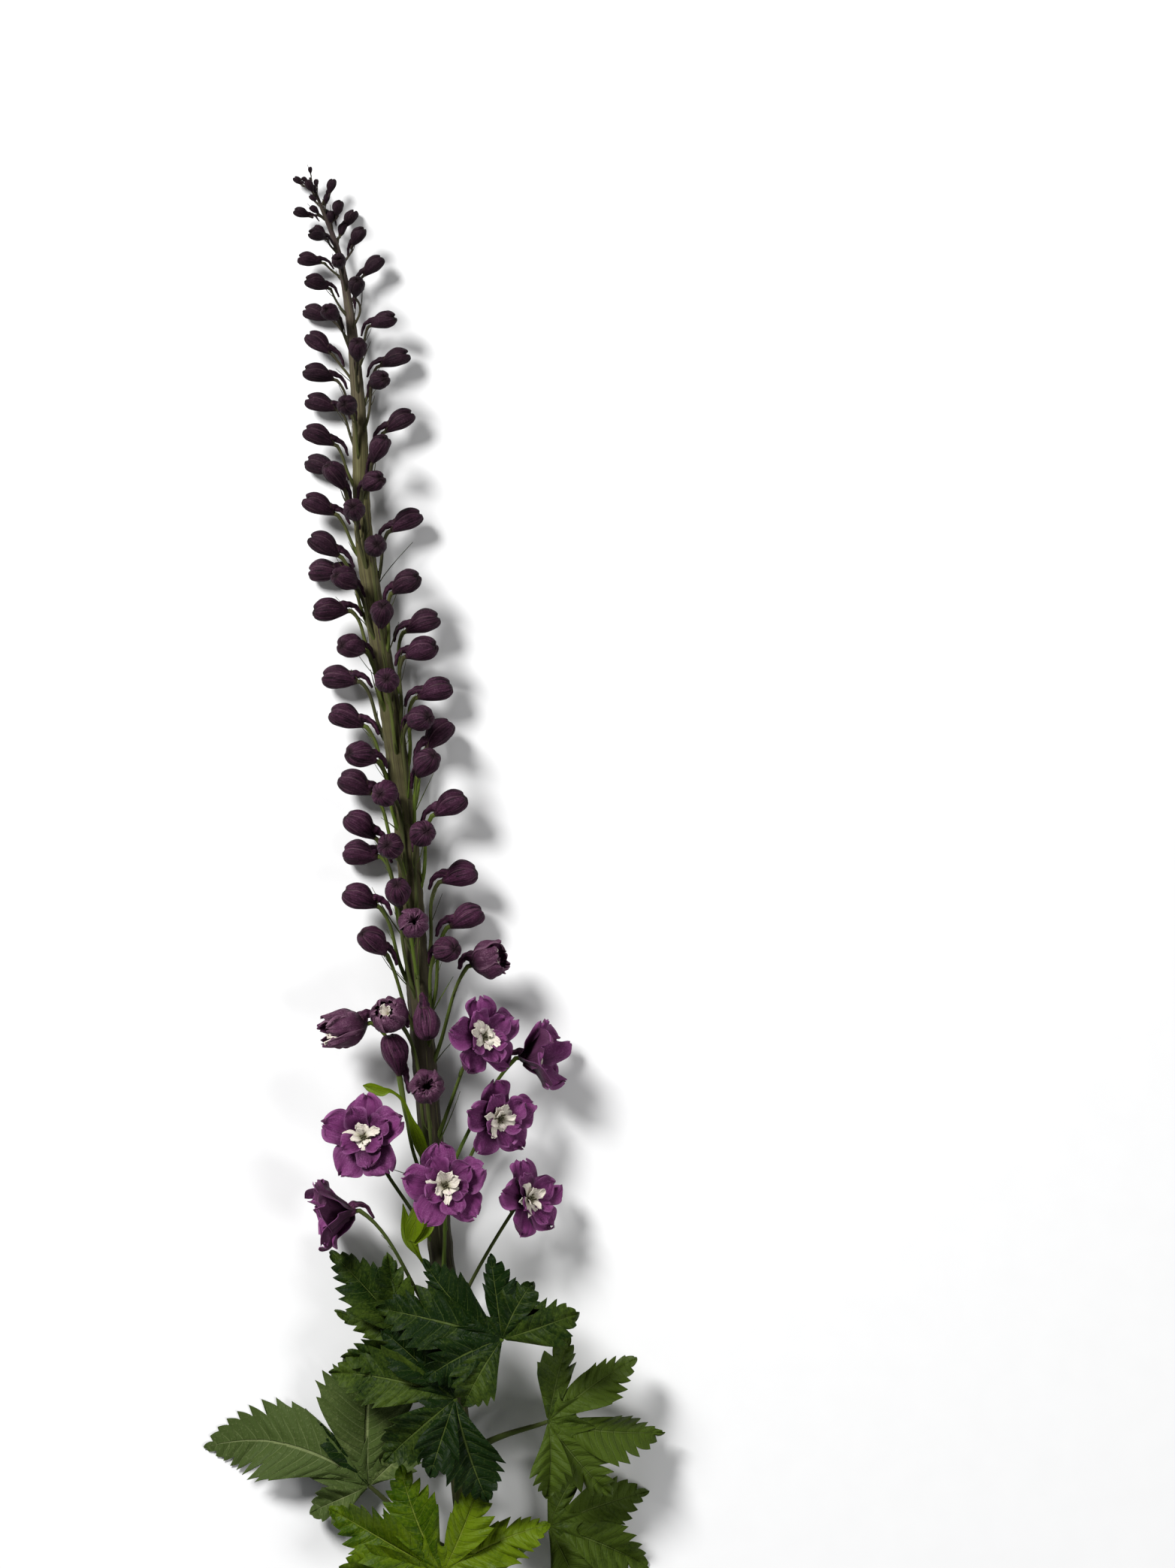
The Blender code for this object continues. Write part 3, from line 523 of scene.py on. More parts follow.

# %% [markdown]
# Crowded florets push each other aside. A physics simulation could do this, but a few round balls
# for each floret are simpler, and give the same result each time. In every round each crossing of
# two balls, or of a ball and a stalk, moves both a little apart. The florets that are listed one by
# one stay where they are.

# %% Neighbours make room
CLEARANCE = 0.8 * MM
NEAR = 75 * MM  # florets whose bases are further apart than this can't touch
ROUNDS = 40
FLORET_SEED = 500


def pushes_between(places, radii, others, other_radii, neighbours):
    """The push on each ball from each other one that crosses it, where the two are neighbours."""
    away = places[:, None] - others[None]
    far = np.linalg.norm(away, axis=-1)
    crossing = np.where(neighbours, radii[:, None] + other_radii[None] - far, 0.0)
    return away * (np.maximum(crossing, 0.0) / np.maximum(far, 1e-9))[..., None]


def spread_apart(florets):
    """Florets and stalks lean away from each other. One round clears a part of each crossing."""
    free = np.array([not floret.pinned for floret in florets])[:, None]
    stem_radii = stem.radius(stem.distances)
    stalk_room = np.repeat([(1.95 + 0.45 * smooth_step(0, 300 * MM, floret.root)) * MM
                            for floret in florets], len(STALK_POINTS))
    stalk_owner = np.repeat(np.arange(len(florets)), len(STALK_POINTS))
    for _ in range(ROUNDS):
        groups = [floret.balls() for floret in florets]
        owner = np.repeat(np.arange(len(florets)), [len(group) for group in groups])
        balls, radii = np.vstack(groups)[:, :3], np.vstack(groups)[:, 3]
        stalks = np.vstack([floret.stalk_curve(STALK_POINTS, *CLEAR_PULLS) for floret in florets])
        bases = np.array([floret.base for floret in florets])
        near = np.linalg.norm(bases[:, None] - bases[None], axis=-1) <= NEAR
        near &= ~np.eye(len(florets), dtype=bool)
        moves, bends = np.zeros_like(bases), np.zeros_like(bases)
        push = pushes_between(balls, radii + CLEARANCE, balls, radii, near[owner][:, owner])
        np.add.at(moves, owner, 0.35 * push.sum(1))
        push = pushes_between(stalks, stalk_room, balls, radii, near[stalk_owner][:, owner])
        np.add.at(bends, stalk_owner, 0.5 * push.sum(1))
        np.add.at(moves, owner, -0.25 * push.sum(0))
        nearest = np.linalg.norm(balls[:, None] - stem.points[None], axis=-1).argmin(1)
        away = balls - stem.points[nearest]
        far = np.linalg.norm(away, axis=-1)
        crossing = np.maximum(radii + stem_radii[nearest] + CLEARANCE - far, 0.0)
        np.add.at(moves, owner, away * (0.5 * crossing / far)[:, None])
        np.add.at(moves, owner, np.maximum(radii - balls[:, 2], 0.0)[:, None] * 0.5 * UP)
        for floret, move, bend in zip(florets, moves * free, bends):
            floret.base = floret.base + move
            floret.bow = floret.bow + bend


florets = [*spiral, *lower_florets()]
spread_apart(florets)
for number, floret in enumerate(florets):
    floret.chance = np.random.default_rng(FLORET_SEED + number)
print("florets:", len(florets), "of these open:", sum(floret.is_open() for floret in florets))

# %% [markdown]
# ## Making surfaces from rows of points
#
# Petals, leaves, buds and stalks are all surfaces drawn by a rule: a row number and a column
# number give a point. Blender could loft curves for this, but rows of points in numpy are quick,
# and each point can carry its grain. `Shape` gathers such patches: a plain grid, a sheet with a
# front, a back and a rim, and a tube along a line. Its `piece` method turns them into one object
# that rides on the flower and stands for its solids.

# %% Grids, sheets and tubes
def grain_of(across, along, tint):
    """The grain at each point of a patch: across, along and the piece's tint."""
    across, along = np.broadcast_arrays(across, along)
    return np.stack([across, along, np.full(across.shape, tint)], -1)


def frames_along(line):
    """Two ways across a line at each of its points, carried along without twisting."""
    ways = unit(np.gradient(line, axis=0))
    nearly_up = UP + np.array([1e-4, 0, 0])  # never quite along a line that runs straight up
    across = [unit(np.cross(ways[0], nearly_up))]
    for way in ways[1:]:
        across.append(unit(across[-1] - way * np.dot(across[-1], way)))
    across = np.array(across)
    return across, np.cross(ways, across)


SHARP_EDGE = math.radians(62)  # edges that bend more than this look sharp


class Shape:
    """Gathers patches of surface into one piece."""

    triangles = 0

    def __init__(self):
        self.places, self.grains, self.faces, self.finishes, self.count = [], [], [], [], 0

    def grid(self, places, grains, finish=0, flip=False):
        rows, columns = places.shape[:2]
        number = self.count + np.arange(rows * columns).reshape(rows, columns)
        faces = np.stack([number[:-1, :-1], number[:-1, 1:], number[1:, 1:], number[1:, :-1]], -1)
        faces = faces.reshape(-1, 4)
        self.faces.append(faces[:, ::-1] if flip else faces)
        self.finishes.append(np.full(len(faces), finish))
        self.places.append(places.reshape(-1, 3))
        self.grains.append(np.broadcast_to(grains, places.shape).reshape(-1, 3))
        self.count += rows * columns

    def sheet(self, places, grains, thick, front=0, back=0):
        """A thin sheet with two sides and a rim."""
        normal = unit(np.cross(np.gradient(places, axis=1), np.gradient(places, axis=0)))
        half = normal * (np.broadcast_to(thick, places.shape[:2]) / 2)[..., None]
        self.grid(places + half, grains, front)
        self.grid(places - half, grains, back, flip=True)

        def rim(rows):
            return np.concatenate([rows[0, :-1], rows[:-1, -1], rows[-1, :0:-1], rows[::-1, 0]])

        self.grid(np.stack([rim(places - half), rim(places + half)]),
                  np.stack([rim(grains), rim(grains)]), front)

    def tube(self, line, radii, sides, tint=0.5, finish=0, swell=None):
        """A closed tube along a line. swell multiplies the radius at each point of each ring."""
        line, radii = np.asarray(line), np.broadcast_to(radii, len(line))
        across, over = frames_along(line)
        angle = np.linspace(math.pi / 2, 5 * math.pi / 2, sides + 1)
        ring = across[:, None] * np.cos(angle)[:, None] + over[:, None] * np.sin(angle)[:, None]
        thick = radii[:, None] * (np.ones(sides + 1) if swell is None else swell)
        places = line[:, None] + ring * thick[..., None]
        middles = np.repeat(line[:, None], sides + 1, 1)
        places = np.concatenate([middles[:1], places, middles[-1:]])
        along = np.linspace(0, 1, len(line))
        along = np.concatenate([along[:1], along, along[-1:]])
        self.grid(places, grain_of(np.linspace(0, 1, sides + 1)[None], along[:, None], tint), finish)

    def piece(self, name, finishes, slot, *nodes):
        """One object of all the patches, with named finishes, in place of the named solids."""
        places, faces = np.vstack(self.places), np.vstack(self.faces)
        mesh = bpy.data.meshes.new(name)
        mesh.vertices.add(len(places))
        mesh.vertices.foreach_set("co", places.astype(np.float32).ravel())
        mesh.loops.add(faces.size)
        mesh.loops.foreach_set("vertex_index", faces.astype(np.int32).ravel())
        mesh.polygons.add(len(faces))
        mesh.polygons.foreach_set("loop_start", np.arange(0, faces.size, 4, dtype=np.int32))
        mesh.polygons.foreach_set("material_index", np.concatenate(self.finishes).astype(np.int32))
        mesh.update(calc_edges=True)
        grain = mesh.attributes.new("grain", "FLOAT_VECTOR", "POINT")
        grain.data.foreach_set("vector", np.vstack(self.grains).astype(np.float32).ravel())
        mesh.shade_smooth()
        mesh.set_sharp_from_angle(angle=SHARP_EDGE)
        for finish in finishes:
            mesh.materials.append(bpy.data.materials[finish])
        made = bpy.data.objects.new(name, mesh)
        bpy.context.scene.collection.objects.link(made)
        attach(made, "root")
        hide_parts(*nodes)
        Shape.triangles += 2 * len(faces)
        return made


trial = Shape()
trial.tube(stem.at(np.array([0.0, 0.1, 0.2])), 2 * MM, sides=8)
print("faces of a short trial tube:", len(trial.faces[0]))

# %% [markdown]
# ## The stem
#
# A delphinium stem is ribbed and finely downy: green-brown where it is old, olive in the middle
# and dusky purple at the tip. One tube is enough, but its ring has about ten soft ribs, and it
# thickens a little under each stalk, where a bract once stood. The colours change with height.

# %% The stem's finish
def stem_finish():
    finish = Finish("ribbed_stem", Roughness=0.62, Sheen_Weight=0.02, Specular_IOR_Level=0.09)
    across, along, tint = finish.grain()
    streaks = finish.streaks(across, along, tint, 46.0, 30.0)
    cloudy = finish.noise(45.0, 4.0)
    share = (finish.height() + 0.40) / 0.80 + (cloudy - 0.5) * 0.10
    colour = finish.ramp(share, [
        (0.00, (0.052, 0.066, 0.012)), (0.22, (0.030, 0.031, 0.012)), (0.40, (0.034, 0.027, 0.017)),
        (0.55, (0.054, 0.048, 0.021)), (0.82, (0.088, 0.080, 0.034)), (0.90, (0.066, 0.052, 0.038)),
        (0.95, (0.046, 0.032, 0.030)), (1.00, (0.020, 0.013, 0.014)),
    ])
    dusky = finish.step(streaks, 0.52, 0.66) * 0.60
    colour = finish.mixed(dusky, colour, (0.026, 0.017, 0.015))
    pale = finish.step(streaks, 0.42, 0.30) * 0.45
    colour = finish.mixed(pale, colour, (0.150, 0.150, 0.060))
    relief = streaks * 0.7 + finish.noise(900.0) * 0.3
    return finish.wear(colour, relief, 0.55 + cloudy * 0.2, 0.35 * MM)


print("finish:", stem_finish().name)

# %% The stem
RINGS, SIDES = 520, 44  # fine enough for ten ribs and for the swelling under each stalk


def make_stem():
    shape = Shape()
    distance = np.linspace(stem.length, 0.0, RINGS)
    angle = np.linspace(0, 2 * math.pi, SIDES + 1)[None]
    twist = distance[:, None] * 3.0
    ribs = 1 + 0.030 * np.cos(10 * angle + twist) + 0.012 * np.cos(3 * angle - twist * 2)
    swell = np.ones(len(distance))
    for floret in florets:
        bulge = 0.07 * np.exp(-((distance - floret.root - 2 * MM) / (3.5 * MM))**2)
        swell = np.maximum(swell, 1 + bulge)
    slim = 0.78 + 0.205 * smooth_step(0, 150 * MM, distance)
    radii = stem.radius(distance) * swell * slim
    shape.tube(stem.at(distance), radii, SIDES, swell=ribs)
    return shape.piece("ribbed_stem", ["ribbed_stem"], "stem_green", "stem", "spike_tip")


print("stem faces:", len(make_stem().data.polygons))

# %% [markdown]
# ## The stalks and their bracts
#
# Each floret hangs on a thin stalk that leaves the stem above a narrow bract, and carries two
# thread-like bracteoles. Near the tip they are dusky brown, lower down bright green.
# The stalks are tapered tubes, a little thicker at both ends. The bracts are folded ribbons.

# %% The stalks' finish
def stalk_finish():
    finish = Finish("stalk", Roughness=0.6, Sheen_Weight=0.02, Specular_IOR_Level=0.09)
    across, along, tint = finish.grain()
    streaks = finish.streaks(across, along, tint, 9.0, 3.0)
    share = (finish.height() + 0.20) / 0.60 + (tint - 0.5) * 0.25 + along * 0.12
    colour = finish.ramp(share, [
        (0.00, (0.058, 0.095, 0.012)), (0.40, (0.072, 0.105, 0.014)), (0.62, (0.062, 0.072, 0.018)),
        (0.80, (0.040, 0.036, 0.018)), (1.00, (0.020, 0.013, 0.013)),
    ])
    colour = finish.mixed(finish.step(tint, 0.30, 0.95) * 0.75, colour, (0.034, 0.036, 0.014))
    colour = finish.mixed(finish.step(streaks, 0.50, 0.72) * 0.5, colour, (0.040, 0.026, 0.016))
    return finish.wear(colour, streaks + finish.noise(1500.0) * 0.4, None, 0.15 * MM)


print("finish:", stalk_finish().name)

# %% One stalk
def ribbon(shape, line, half, fold, tint, finish=0, face=UP):
    """A narrow folded blade along a line, half as wide as given at each point."""
    line = np.asarray(line)
    ways = unit(np.gradient(line, axis=0))
    side = unit(np.cross(ways, np.broadcast_to(face, ways.shape)))
    over = np.cross(side, ways)
    across = np.linspace(-1, 1, 5)[None, :, None]
    half = np.broadcast_to(half, len(line))[:, None, None]
    places = line[:, None] + side[:, None] * across * half + over[:, None] * fold * half * across**2
    along = np.linspace(0, 1, len(line))[:, None]
    shape.sheet(places, grain_of(across[..., 0], along, tint), 0.25 * MM, finish, finish)


def curl_line(start, way, bend, length, count=9):
    """A line that sets off one way and bends towards another."""
    t = np.linspace(0, 1, count)[:, None]
    return start + unit(way) * t * length + bend * t**2 * length


def add_stalk(shape, floret, finish=0):
    line = floret.stalk_line()
    t = np.linspace(0, 1, len(line))
    thin = floret.stalk_radius()
    radii = thin * (1.0 + 0.6 * np.exp(-t / 0.10) + 0.35 * smooth_step(0.70, 0.90, t))
    radii[-1] *= 0.4
    shape.tube(line, radii, 10, floret.chance.uniform(), finish)
    chance = floret.chance
    ways = unit(np.gradient(line, axis=0))
    for side in (-1, 1):
        number = int(len(line) * chance.uniform(0.35, 0.75))
        out = floret.side * side * chance.uniform(0.2, 0.6) - floret.dorsal * chance.uniform(0, 0.4)
        length = chance.uniform(0.25, 0.60) * floret.length
        bend = floret.facing * 0.4 - out * chance.uniform(0.5, 1.4) + floret.tipwards * 0.3
        thread = curl_line(line[number], ways[number] * 0.7 + out, bend, length)
        taper = 0.25 * MM * (1 - np.linspace(0, 1, len(thread))**2 * 0.8)
        ribbon(shape, thread, taper, 0.5, chance.uniform(), finish, floret.dorsal)


print("stalks to draw:", len(florets))

# %% One bract
LAST_BRACT = 560 * MM  # further down, leafy bracts and leaves stand in their place


def kept_above(places, low, high=None):
    """The same places, raised to the height low and lowered to the height high where they pass it."""
    places = places.copy()
    places[..., 2] = np.clip(places[..., 2], low, high)
    return places


def add_bract(shape, floret, finish=0):
    """The narrow bract under a stalk, which curves out and up."""
    chance = floret.chance
    start = floret.axis_point + floret.outwards() * 0.9 * floret.stem_radius - floret.tipwards * 1.5 * MM
    length = (6.5 + 9.5 * smooth_step(0, 480 * MM, floret.root)) * MM * chance.uniform(0.6, 1.4)
    way = floret.outwards() * 0.55 + floret.tipwards * chance.uniform(0.6, 1.1)
    bend = floret.tipwards * chance.uniform(0.1, 0.7) + floret.outwards() * chance.uniform(-0.5, 0.5)
    bend = bend + chance.normal(0, 0.25, 3)
    line = kept_above(curl_line(start, way, bend, length, 13), 0.8 * MM)
    t = np.linspace(0, 1, len(line))
    half = (0.32 + 0.30 * smooth_step(0, 400 * MM, floret.root)) * MM * (1.1 - t**1.5)
    ribbon(shape, line, half, 0.6, chance.uniform(), finish, floret.tipwards)


print("narrow bracts:", sum(floret.root < LAST_BRACT for floret in florets))

# %% All the stalks
TIP_FLORETS = 35  # these are one solid with the tip of the spike


def make_stalks(name, members, slot, node):
    shape = Shape()
    for floret in members:
        add_stalk(shape, floret)
        if floret.root < LAST_BRACT:
            add_bract(shape, floret)
    return shape.piece(name, ["stalk"], slot, node)


groups = [("stalks_of_tip", florets[:TIP_FLORETS], "tip_purple", "spike_tip"),
          ("stalks_of_buds", florets[TIP_FLORETS:SPIRAL_COUNT], "stem_green", "stem"),
          ("stalks_of_blooms", florets[SPIRAL_COUNT:], "stem_green", "stem")]
for group in groups:
    print(group[0], len(make_stalks(*group).data.polygons))

# %% [markdown]
# ## The buds
#
# A bud is closed by five sepals whose edges overlap, so its skin has five ridges and five sharp
# steps. A sphere with a bump map would show neither in outline. Here the radius of one egg-shaped
# grid rises across each sepal and drops at its edge, and a groove parts its end in two. The spur
# is a wrinkled, bent tube. A few tiny buds, too small for the solids, crowd round the tip.
#
# The finish follows the grain: fine lines from base to tip, pale creased edges, a dark beak, and
# a colour that goes from almost black at the top of the spike to plum lower down.

# %% The buds' finish
def bud_finish():
    finish = Finish("bud_skin", Roughness=0.52, Specular_IOR_Level=0.06)
    across, along, tint = finish.grain()
    streaks = finish.streaks(across, along, tint, 9.0, 1.4)
    fine = finish.streaks(across, along, tint, 27.0, 2.0)
    cloudy = finish.noise(220.0, 4.0)
    share = (finish.height() + 0.11) / 0.51 + (tint - 0.5) * 0.22 + (cloudy - 0.5) * 0.18
    colour = finish.ramp(share, [
        (0.00, (0.052, 0.013, 0.036)), (0.30, (0.035, 0.010, 0.024)), (0.60, (0.025, 0.009, 0.017)),
        (0.85, (0.017, 0.007, 0.012)), (1.00, (0.012, 0.006, 0.009)),
    ])
    rib = (across.fraction() - 0.5).size() * 2.0
    down = finish.noise(1100.0, 5.0)
    lines = finish.step(fine, 0.50, 0.66) * 0.36 * (1.3 - share) + finish.step(down, 0.50, 0.68) * 0.28
    light = finish.mixed(share, (0.165, 0.062, 0.122), (0.056, 0.033, 0.044))
    colour = finish.mixed(lines, colour, light)
    dark = finish.step(streaks, 0.50, 0.34) * 0.75 + finish.step(cloudy, 0.52, 0.38) * 0.35
    colour = finish.mixed(dark, colour, (0.009, 0.004, 0.007))
    crease = finish.step(rib, 0.90, 1.0) * 0.30 * finish.step(along, 0.1, 0.5)
    colour = finish.mixed(crease, colour, finish.mixed(share, (0.22, 0.13, 0.16), (0.080, 0.056, 0.052)))
    beak = finish.step(along + (streaks - 0.5) * 0.10, 0.93, 0.99)
    colour = finish.mixed(beak * 0.65, colour, (0.013, 0.008, 0.008))
    foot = finish.step(along, 0.12, 0.0) * 0.40
    colour = finish.mixed(foot, colour, (0.060, 0.050, 0.026))
    relief = fine * 0.35 + streaks * 0.75 + down * 0.35
    return finish.wear(colour, relief, 0.46 + cloudy * 0.25, 0.70 * MM)


print("finish:", bud_finish().name)

# %% One bud
WIDEST = 0.58  # where a bud is widest, as a share of its length
SLIM_BUD = 0.94  # the skin is drawn a little inside the solid


def bud_outline(height):
    """The bud's radius at a share of its length: a narrow foot and a broad, round end."""
    foot = 0.20 + 0.80 * np.sin(math.pi / 2 * np.clip(height / WIDEST, 0, 1))**1.10
    end = (1 - np.clip((height - WIDEST) / (1 - WIDEST), 0, 1)**2.3)**0.56
    return foot * end


def ripple(value, chance):
    """A wave over a surface that starts anywhere in its course."""
    return np.sin(value + chance.uniform(0, 6))


def add_bud(shape, floret, rows=26, steps=11):
    """Five sepals in one skin, each drawn in a number of steps round the bud."""
    chance = floret.chance
    along = np.sin(math.pi / 2 * np.linspace(0, 1, rows))[:, None]**1.1
    sepal = np.linspace(0, 5, 5 * steps + 1)[None]
    share = sepal % 1.0
    bulge = 1 - np.abs(2 * share - 1)**2.6
    end = smooth_step(0.60, 1.0, along)
    ridge = 0.985 - 0.08 * end + (0.025 + 0.12 * end) * bulge
    ridge = ridge + 0.08 * (share - 0.5) * np.sin(math.pi * along)**0.7
    stand = chance.uniform(-0.045, 0.045, 6)[np.floor(sepal).astype(int) % 5]
    ridge = ridge + stand * np.sin(math.pi * along)
    ridge = ridge + 0.018 * ripple(along * 13 + sepal * 4, chance)
    ridge = ridge + 0.010 * ripple(sepal * 17 + along * 5, chance)
    radius = SLIM_BUD * floret.width / 2 * bud_outline(along) * ridge
    lean = chance.uniform(-0.5, 0.5) * (along - 0.4) * 0.8
    angle = sepal * 2 * math.pi / 5 + math.pi / 2 + lean
    shoulder = smooth_step(0.55, 0.0, radius / (floret.width / 2)) * end
    dip = floret.length * (0.04 + 0.04 * (1 - bulge)) * shoulder
    groove = radius * np.sin(angle) / floret.width - chance.uniform(0.04, 0.17)
    deep = 0.10 - 0.070 * smooth_step(120 * MM, 330 * MM, floret.root)
    deep = deep * chance.uniform(0.7, 1.3)
    dip = dip + floret.length * deep * np.exp(-(groove / 0.06)**2) * smooth_step(0.62, 0.97, along)
    bow = 0.07 * floret.length * np.sin(math.pi * along)
    height = along * (floret.length - 0.2 * MM) - dip
    places = np.stack([radius * np.cos(angle), radius * np.sin(angle) + bow, height], -1)
    places = np.concatenate([np.repeat(places[:1].mean(1, keepdims=True), places.shape[1], 1), places])
    along = np.concatenate([along[:1], along])
    shape.grid(kept_above(floret.placed(places), 0.0), grain_of(sepal, along, chance.uniform()))


print("a bud's outline in quarters:", bud_outline(np.linspace(0, 1, 5)).round(2))

# %% One spur
SPUR_SIDES = 14


def add_spur(shape, floret, finish=0):
    """A crumpled tail, thick where it leaves the bud and drawn out to a blunt point."""
    chance = floret.chance
    line = floret.spur_line()
    t = np.linspace(0, 1, len(line))[:, None]
    angle = np.linspace(0, 1, SPUR_SIDES + 1)[None]
    crumple = 1 + 0.16 * ripple(t * 27 + angle * 8, chance) * np.sqrt(t)
    crumple = crumple + 0.11 * ripple(angle * 18.85 + t * 7, chance)
    thick = 0.5 * floret.base_width()
    radii = thick * (0.17 + 0.30 * np.exp(-((t[:, 0] + 0.12) / 0.48)**2)) * (1 - 0.45 * t[:, 0]**6)
    shape.tube(kept_above(line, radii), radii, SPUR_SIDES, chance.uniform(), finish, crumple)


print("points along a spur:", len(florets[0].spur_line()))

# %% The smallest buds
TIP_BUDS = 11
TIP_SEED = 600


def tip_florets():
    """The last and smallest buds, which crowd round the growing tip in the same spiral."""
    for number in range(TIP_BUDS):
        root = (1.0 + 3.6 * number) * MM
        turn = math.radians(GOLDEN_ANGLE * number + 40)
        middle, tipwards = stem.at(root), stem.towards_tip(root)
        aside = unit(np.cross(tipwards, UP))
        out = aside * math.cos(turn) + np.cross(aside, tipwards) * math.sin(turn)
        length = (4.2 + 0.42 * number) * MM
        base = middle + out * (1.8 + 0.20 * number) * MM + tipwards * 2.4 * MM
        floret = Floret("", "bud", root, base, out * (0.45 + 0.05 * number) + tipwards, length,
                        length * 0.60)
        floret.chance = np.random.default_rng(TIP_SEED + number)
        yield floret


tip_buds = list(tip_florets())
print("smallest bud in mm:", round(tip_buds[0].length / MM, 1))

# %% All the buds
def make_buds():
    made = []
    shape = Shape()
    for floret in florets[:TIP_FLORETS]:
        add_bud(shape, floret, rows=20, steps=8)
        add_spur(shape, floret)
    for floret in tip_buds:
        add_bud(shape, floret, rows=12, steps=4)
        add_stalk(shape, floret, finish=1)
        add_bract(shape, floret, finish=1)
    made.append(shape.piece("young_buds", ["bud_skin", "stalk"], "tip_purple", "spike_tip"))
    for floret in florets[TIP_FLORETS:]:
        if floret.kind == "bud":
            shape = Shape()
            add_bud(shape, floret)
            add_spur(shape, floret)
            made.append(shape.piece(floret.name + "_sepals", ["bud_skin"], "bud_purple", floret.name))
    return made


print("bud pieces:", len(make_buds()), "triangles so far:", Shape.triangles)

# %% [markdown]
# ## The petals' finish
#
# Open petals are brighter than the buds: a red-purple, with darker veins that fan out from the
# base, a paler rim and duller backs. Shade is painted in as well: each petal darkens towards its
# base and throat, where the cup shades it, and pale specks of painted highlight stand for the sheen
# of its velvet. A picture of a petal could be laid on each, but veins drawn along the grain fit
# every size. The same rule serves the opening buds, in colours nearer to the dark plum of the
# closed ones.

# %% The petals' finishes
def petal_finish(name, deep, bright, rim, dull=0.0, lined=1.0):
    finish = Finish(name, Roughness=0.5, Specular_IOR_Level=0.10)
    across, along, tint = finish.grain()
    veins = finish.streaks(across * (1.15 - along * 0.35), along, tint, 9.0, 0.9)
    # Painted highlight: this speckle noise places pale specks of sheen on the velvet, and also gives a
    # faint bump.
    highlight_speckle = finish.noise(1500.0, 4.0)
    fine = finish.streaks(across, along, tint, 30.0, 1.6)
    cloudy = finish.noise(130.0, 4.0)
    # Painted shade: darker towards the base, where the cup shades the petal, and lighter towards the
    # end; the rest varies at random.
    share = cloudy * 0.55 + (tint - 0.5) * 0.40 + along * 0.75 - 0.20
    colour = finish.mixed(finish.step(share, 0.10, 0.75), deep, bright)
    edge = finish.step(across.size(), 0.72, 1.0) * 0.35 + finish.step(along, 0.86, 1.0) * 0.25
    colour = finish.mixed(edge * (1.0 - dull), colour, rim)
    dark = finish.step(veins, 0.54, 0.70) * 0.26 * lined + finish.step(fine, 0.56, 0.70) * 0.14 * lined
    colour = finish.mixed(dark, colour, tuple(0.45 * part for part in deep))
    # Painted highlight: pale specks of sheen, mostly towards the petal's end.
    pale = finish.step(highlight_speckle, 0.42, 0.72) * finish.step(cloudy + along * 0.3, 0.55, 0.85) * 0.42
    colour = finish.mixed(pale, colour, rim)
    # Painted shade: the throat, by the base, is darkened where the cup shades it.
    throat = finish.step(along, 0.30, 0.04) * 0.60
    colour = finish.mixed(throat, colour, (0.038, 0.016, 0.026))
    relief = veins * 0.55 + fine * 0.36 + highlight_speckle * 0.12 + finish.noise(330.0) * 0.50
    return finish.wear(colour, relief, 0.40 + cloudy * 0.25, 0.75 * MM)


PETAL_COLOURS = {  # deep, bright and rim
    "petal_face": ((0.034, 0.006, 0.027), (0.135, 0.025, 0.108), (0.280, 0.105, 0.245)),
    "petal_back": ((0.026, 0.008, 0.020), (0.066, 0.019, 0.051), (0.125, 0.046, 0.100)),
    "opening_sepal": ((0.023, 0.007, 0.016), (0.066, 0.019, 0.047), (0.250, 0.135, 0.195)),
}
petal_finish("petal_face", *PETAL_COLOURS["petal_face"])
petal_finish("petal_back", *PETAL_COLOURS["petal_back"], dull=0.4)
petal_finish("opening_sepal", *PETAL_COLOURS["opening_sepal"], lined=2.6)
print("petal finishes:", list(PETAL_COLOURS))

# %% [markdown]
# The bee, the tuft of small white petals in the throat, is creamy with a greenish foot. The
# stamens under it are dusky, with pale green anthers.

# %% The bee's and the stamens' finishes
def bee_finish():
    finish = Finish("bee_cream", Roughness=0.6, Specular_IOR_Level=0.18)
    across, along, tint = finish.grain()
    lines = finish.streaks(across, along, tint, 7.0, 1.5)
    colour = finish.mixed(finish.step(lines, 0.40, 0.68) * 0.8, (0.70, 0.66, 0.56), (0.44, 0.37, 0.33))
    colour = finish.mixed(finish.step(along, 0.50, 0.05) * 0.85, colour, (0.24, 0.22, 0.10))
    blush = finish.step(finish.noise(420.0), 0.56, 0.70) * 0.35
    colour = finish.mixed(blush, colour, (0.42, 0.22, 0.36))
    return finish.wear(colour, lines + finish.noise(1800.0) * 0.5, None, 0.25 * MM)


def stamen_finish():
    finish = Finish("stamens", Roughness=0.6)
    along = finish.grain()[1]
    grains = finish.noise(2600.0)
    tip = finish.step(along, 0.70, 0.80)
    colour = finish.mixed(tip, (0.040, 0.026, 0.030), (0.085, 0.075, 0.032))
    colour = finish.mixed(finish.step(grains, 0.45, 0.65) * 0.6, colour, (0.030, 0.026, 0.020))
    return finish.wear(colour, grains, None, 0.2 * MM)


print("finishes:", bee_finish().name, stamen_finish().name)

# %% [markdown]
# ## The opening buds
#
# When a bud opens, its five sepals part at the tip and their ends curl. Each sepal is a sheet of
# its own, wrapped round the bud and narrowing to a rounded end, with crinkled edges. Smaller inner
# petals stand inside, and in the most open ones the white bee shows.

# %% One cup
def lattice(rows, columns):
    """Shares along a patch, 0 to 1, in a column, and across it, -1 to 1, in a row."""
    return np.linspace(0, 1, rows)[:, None], np.linspace(-1, 1, columns)[None]


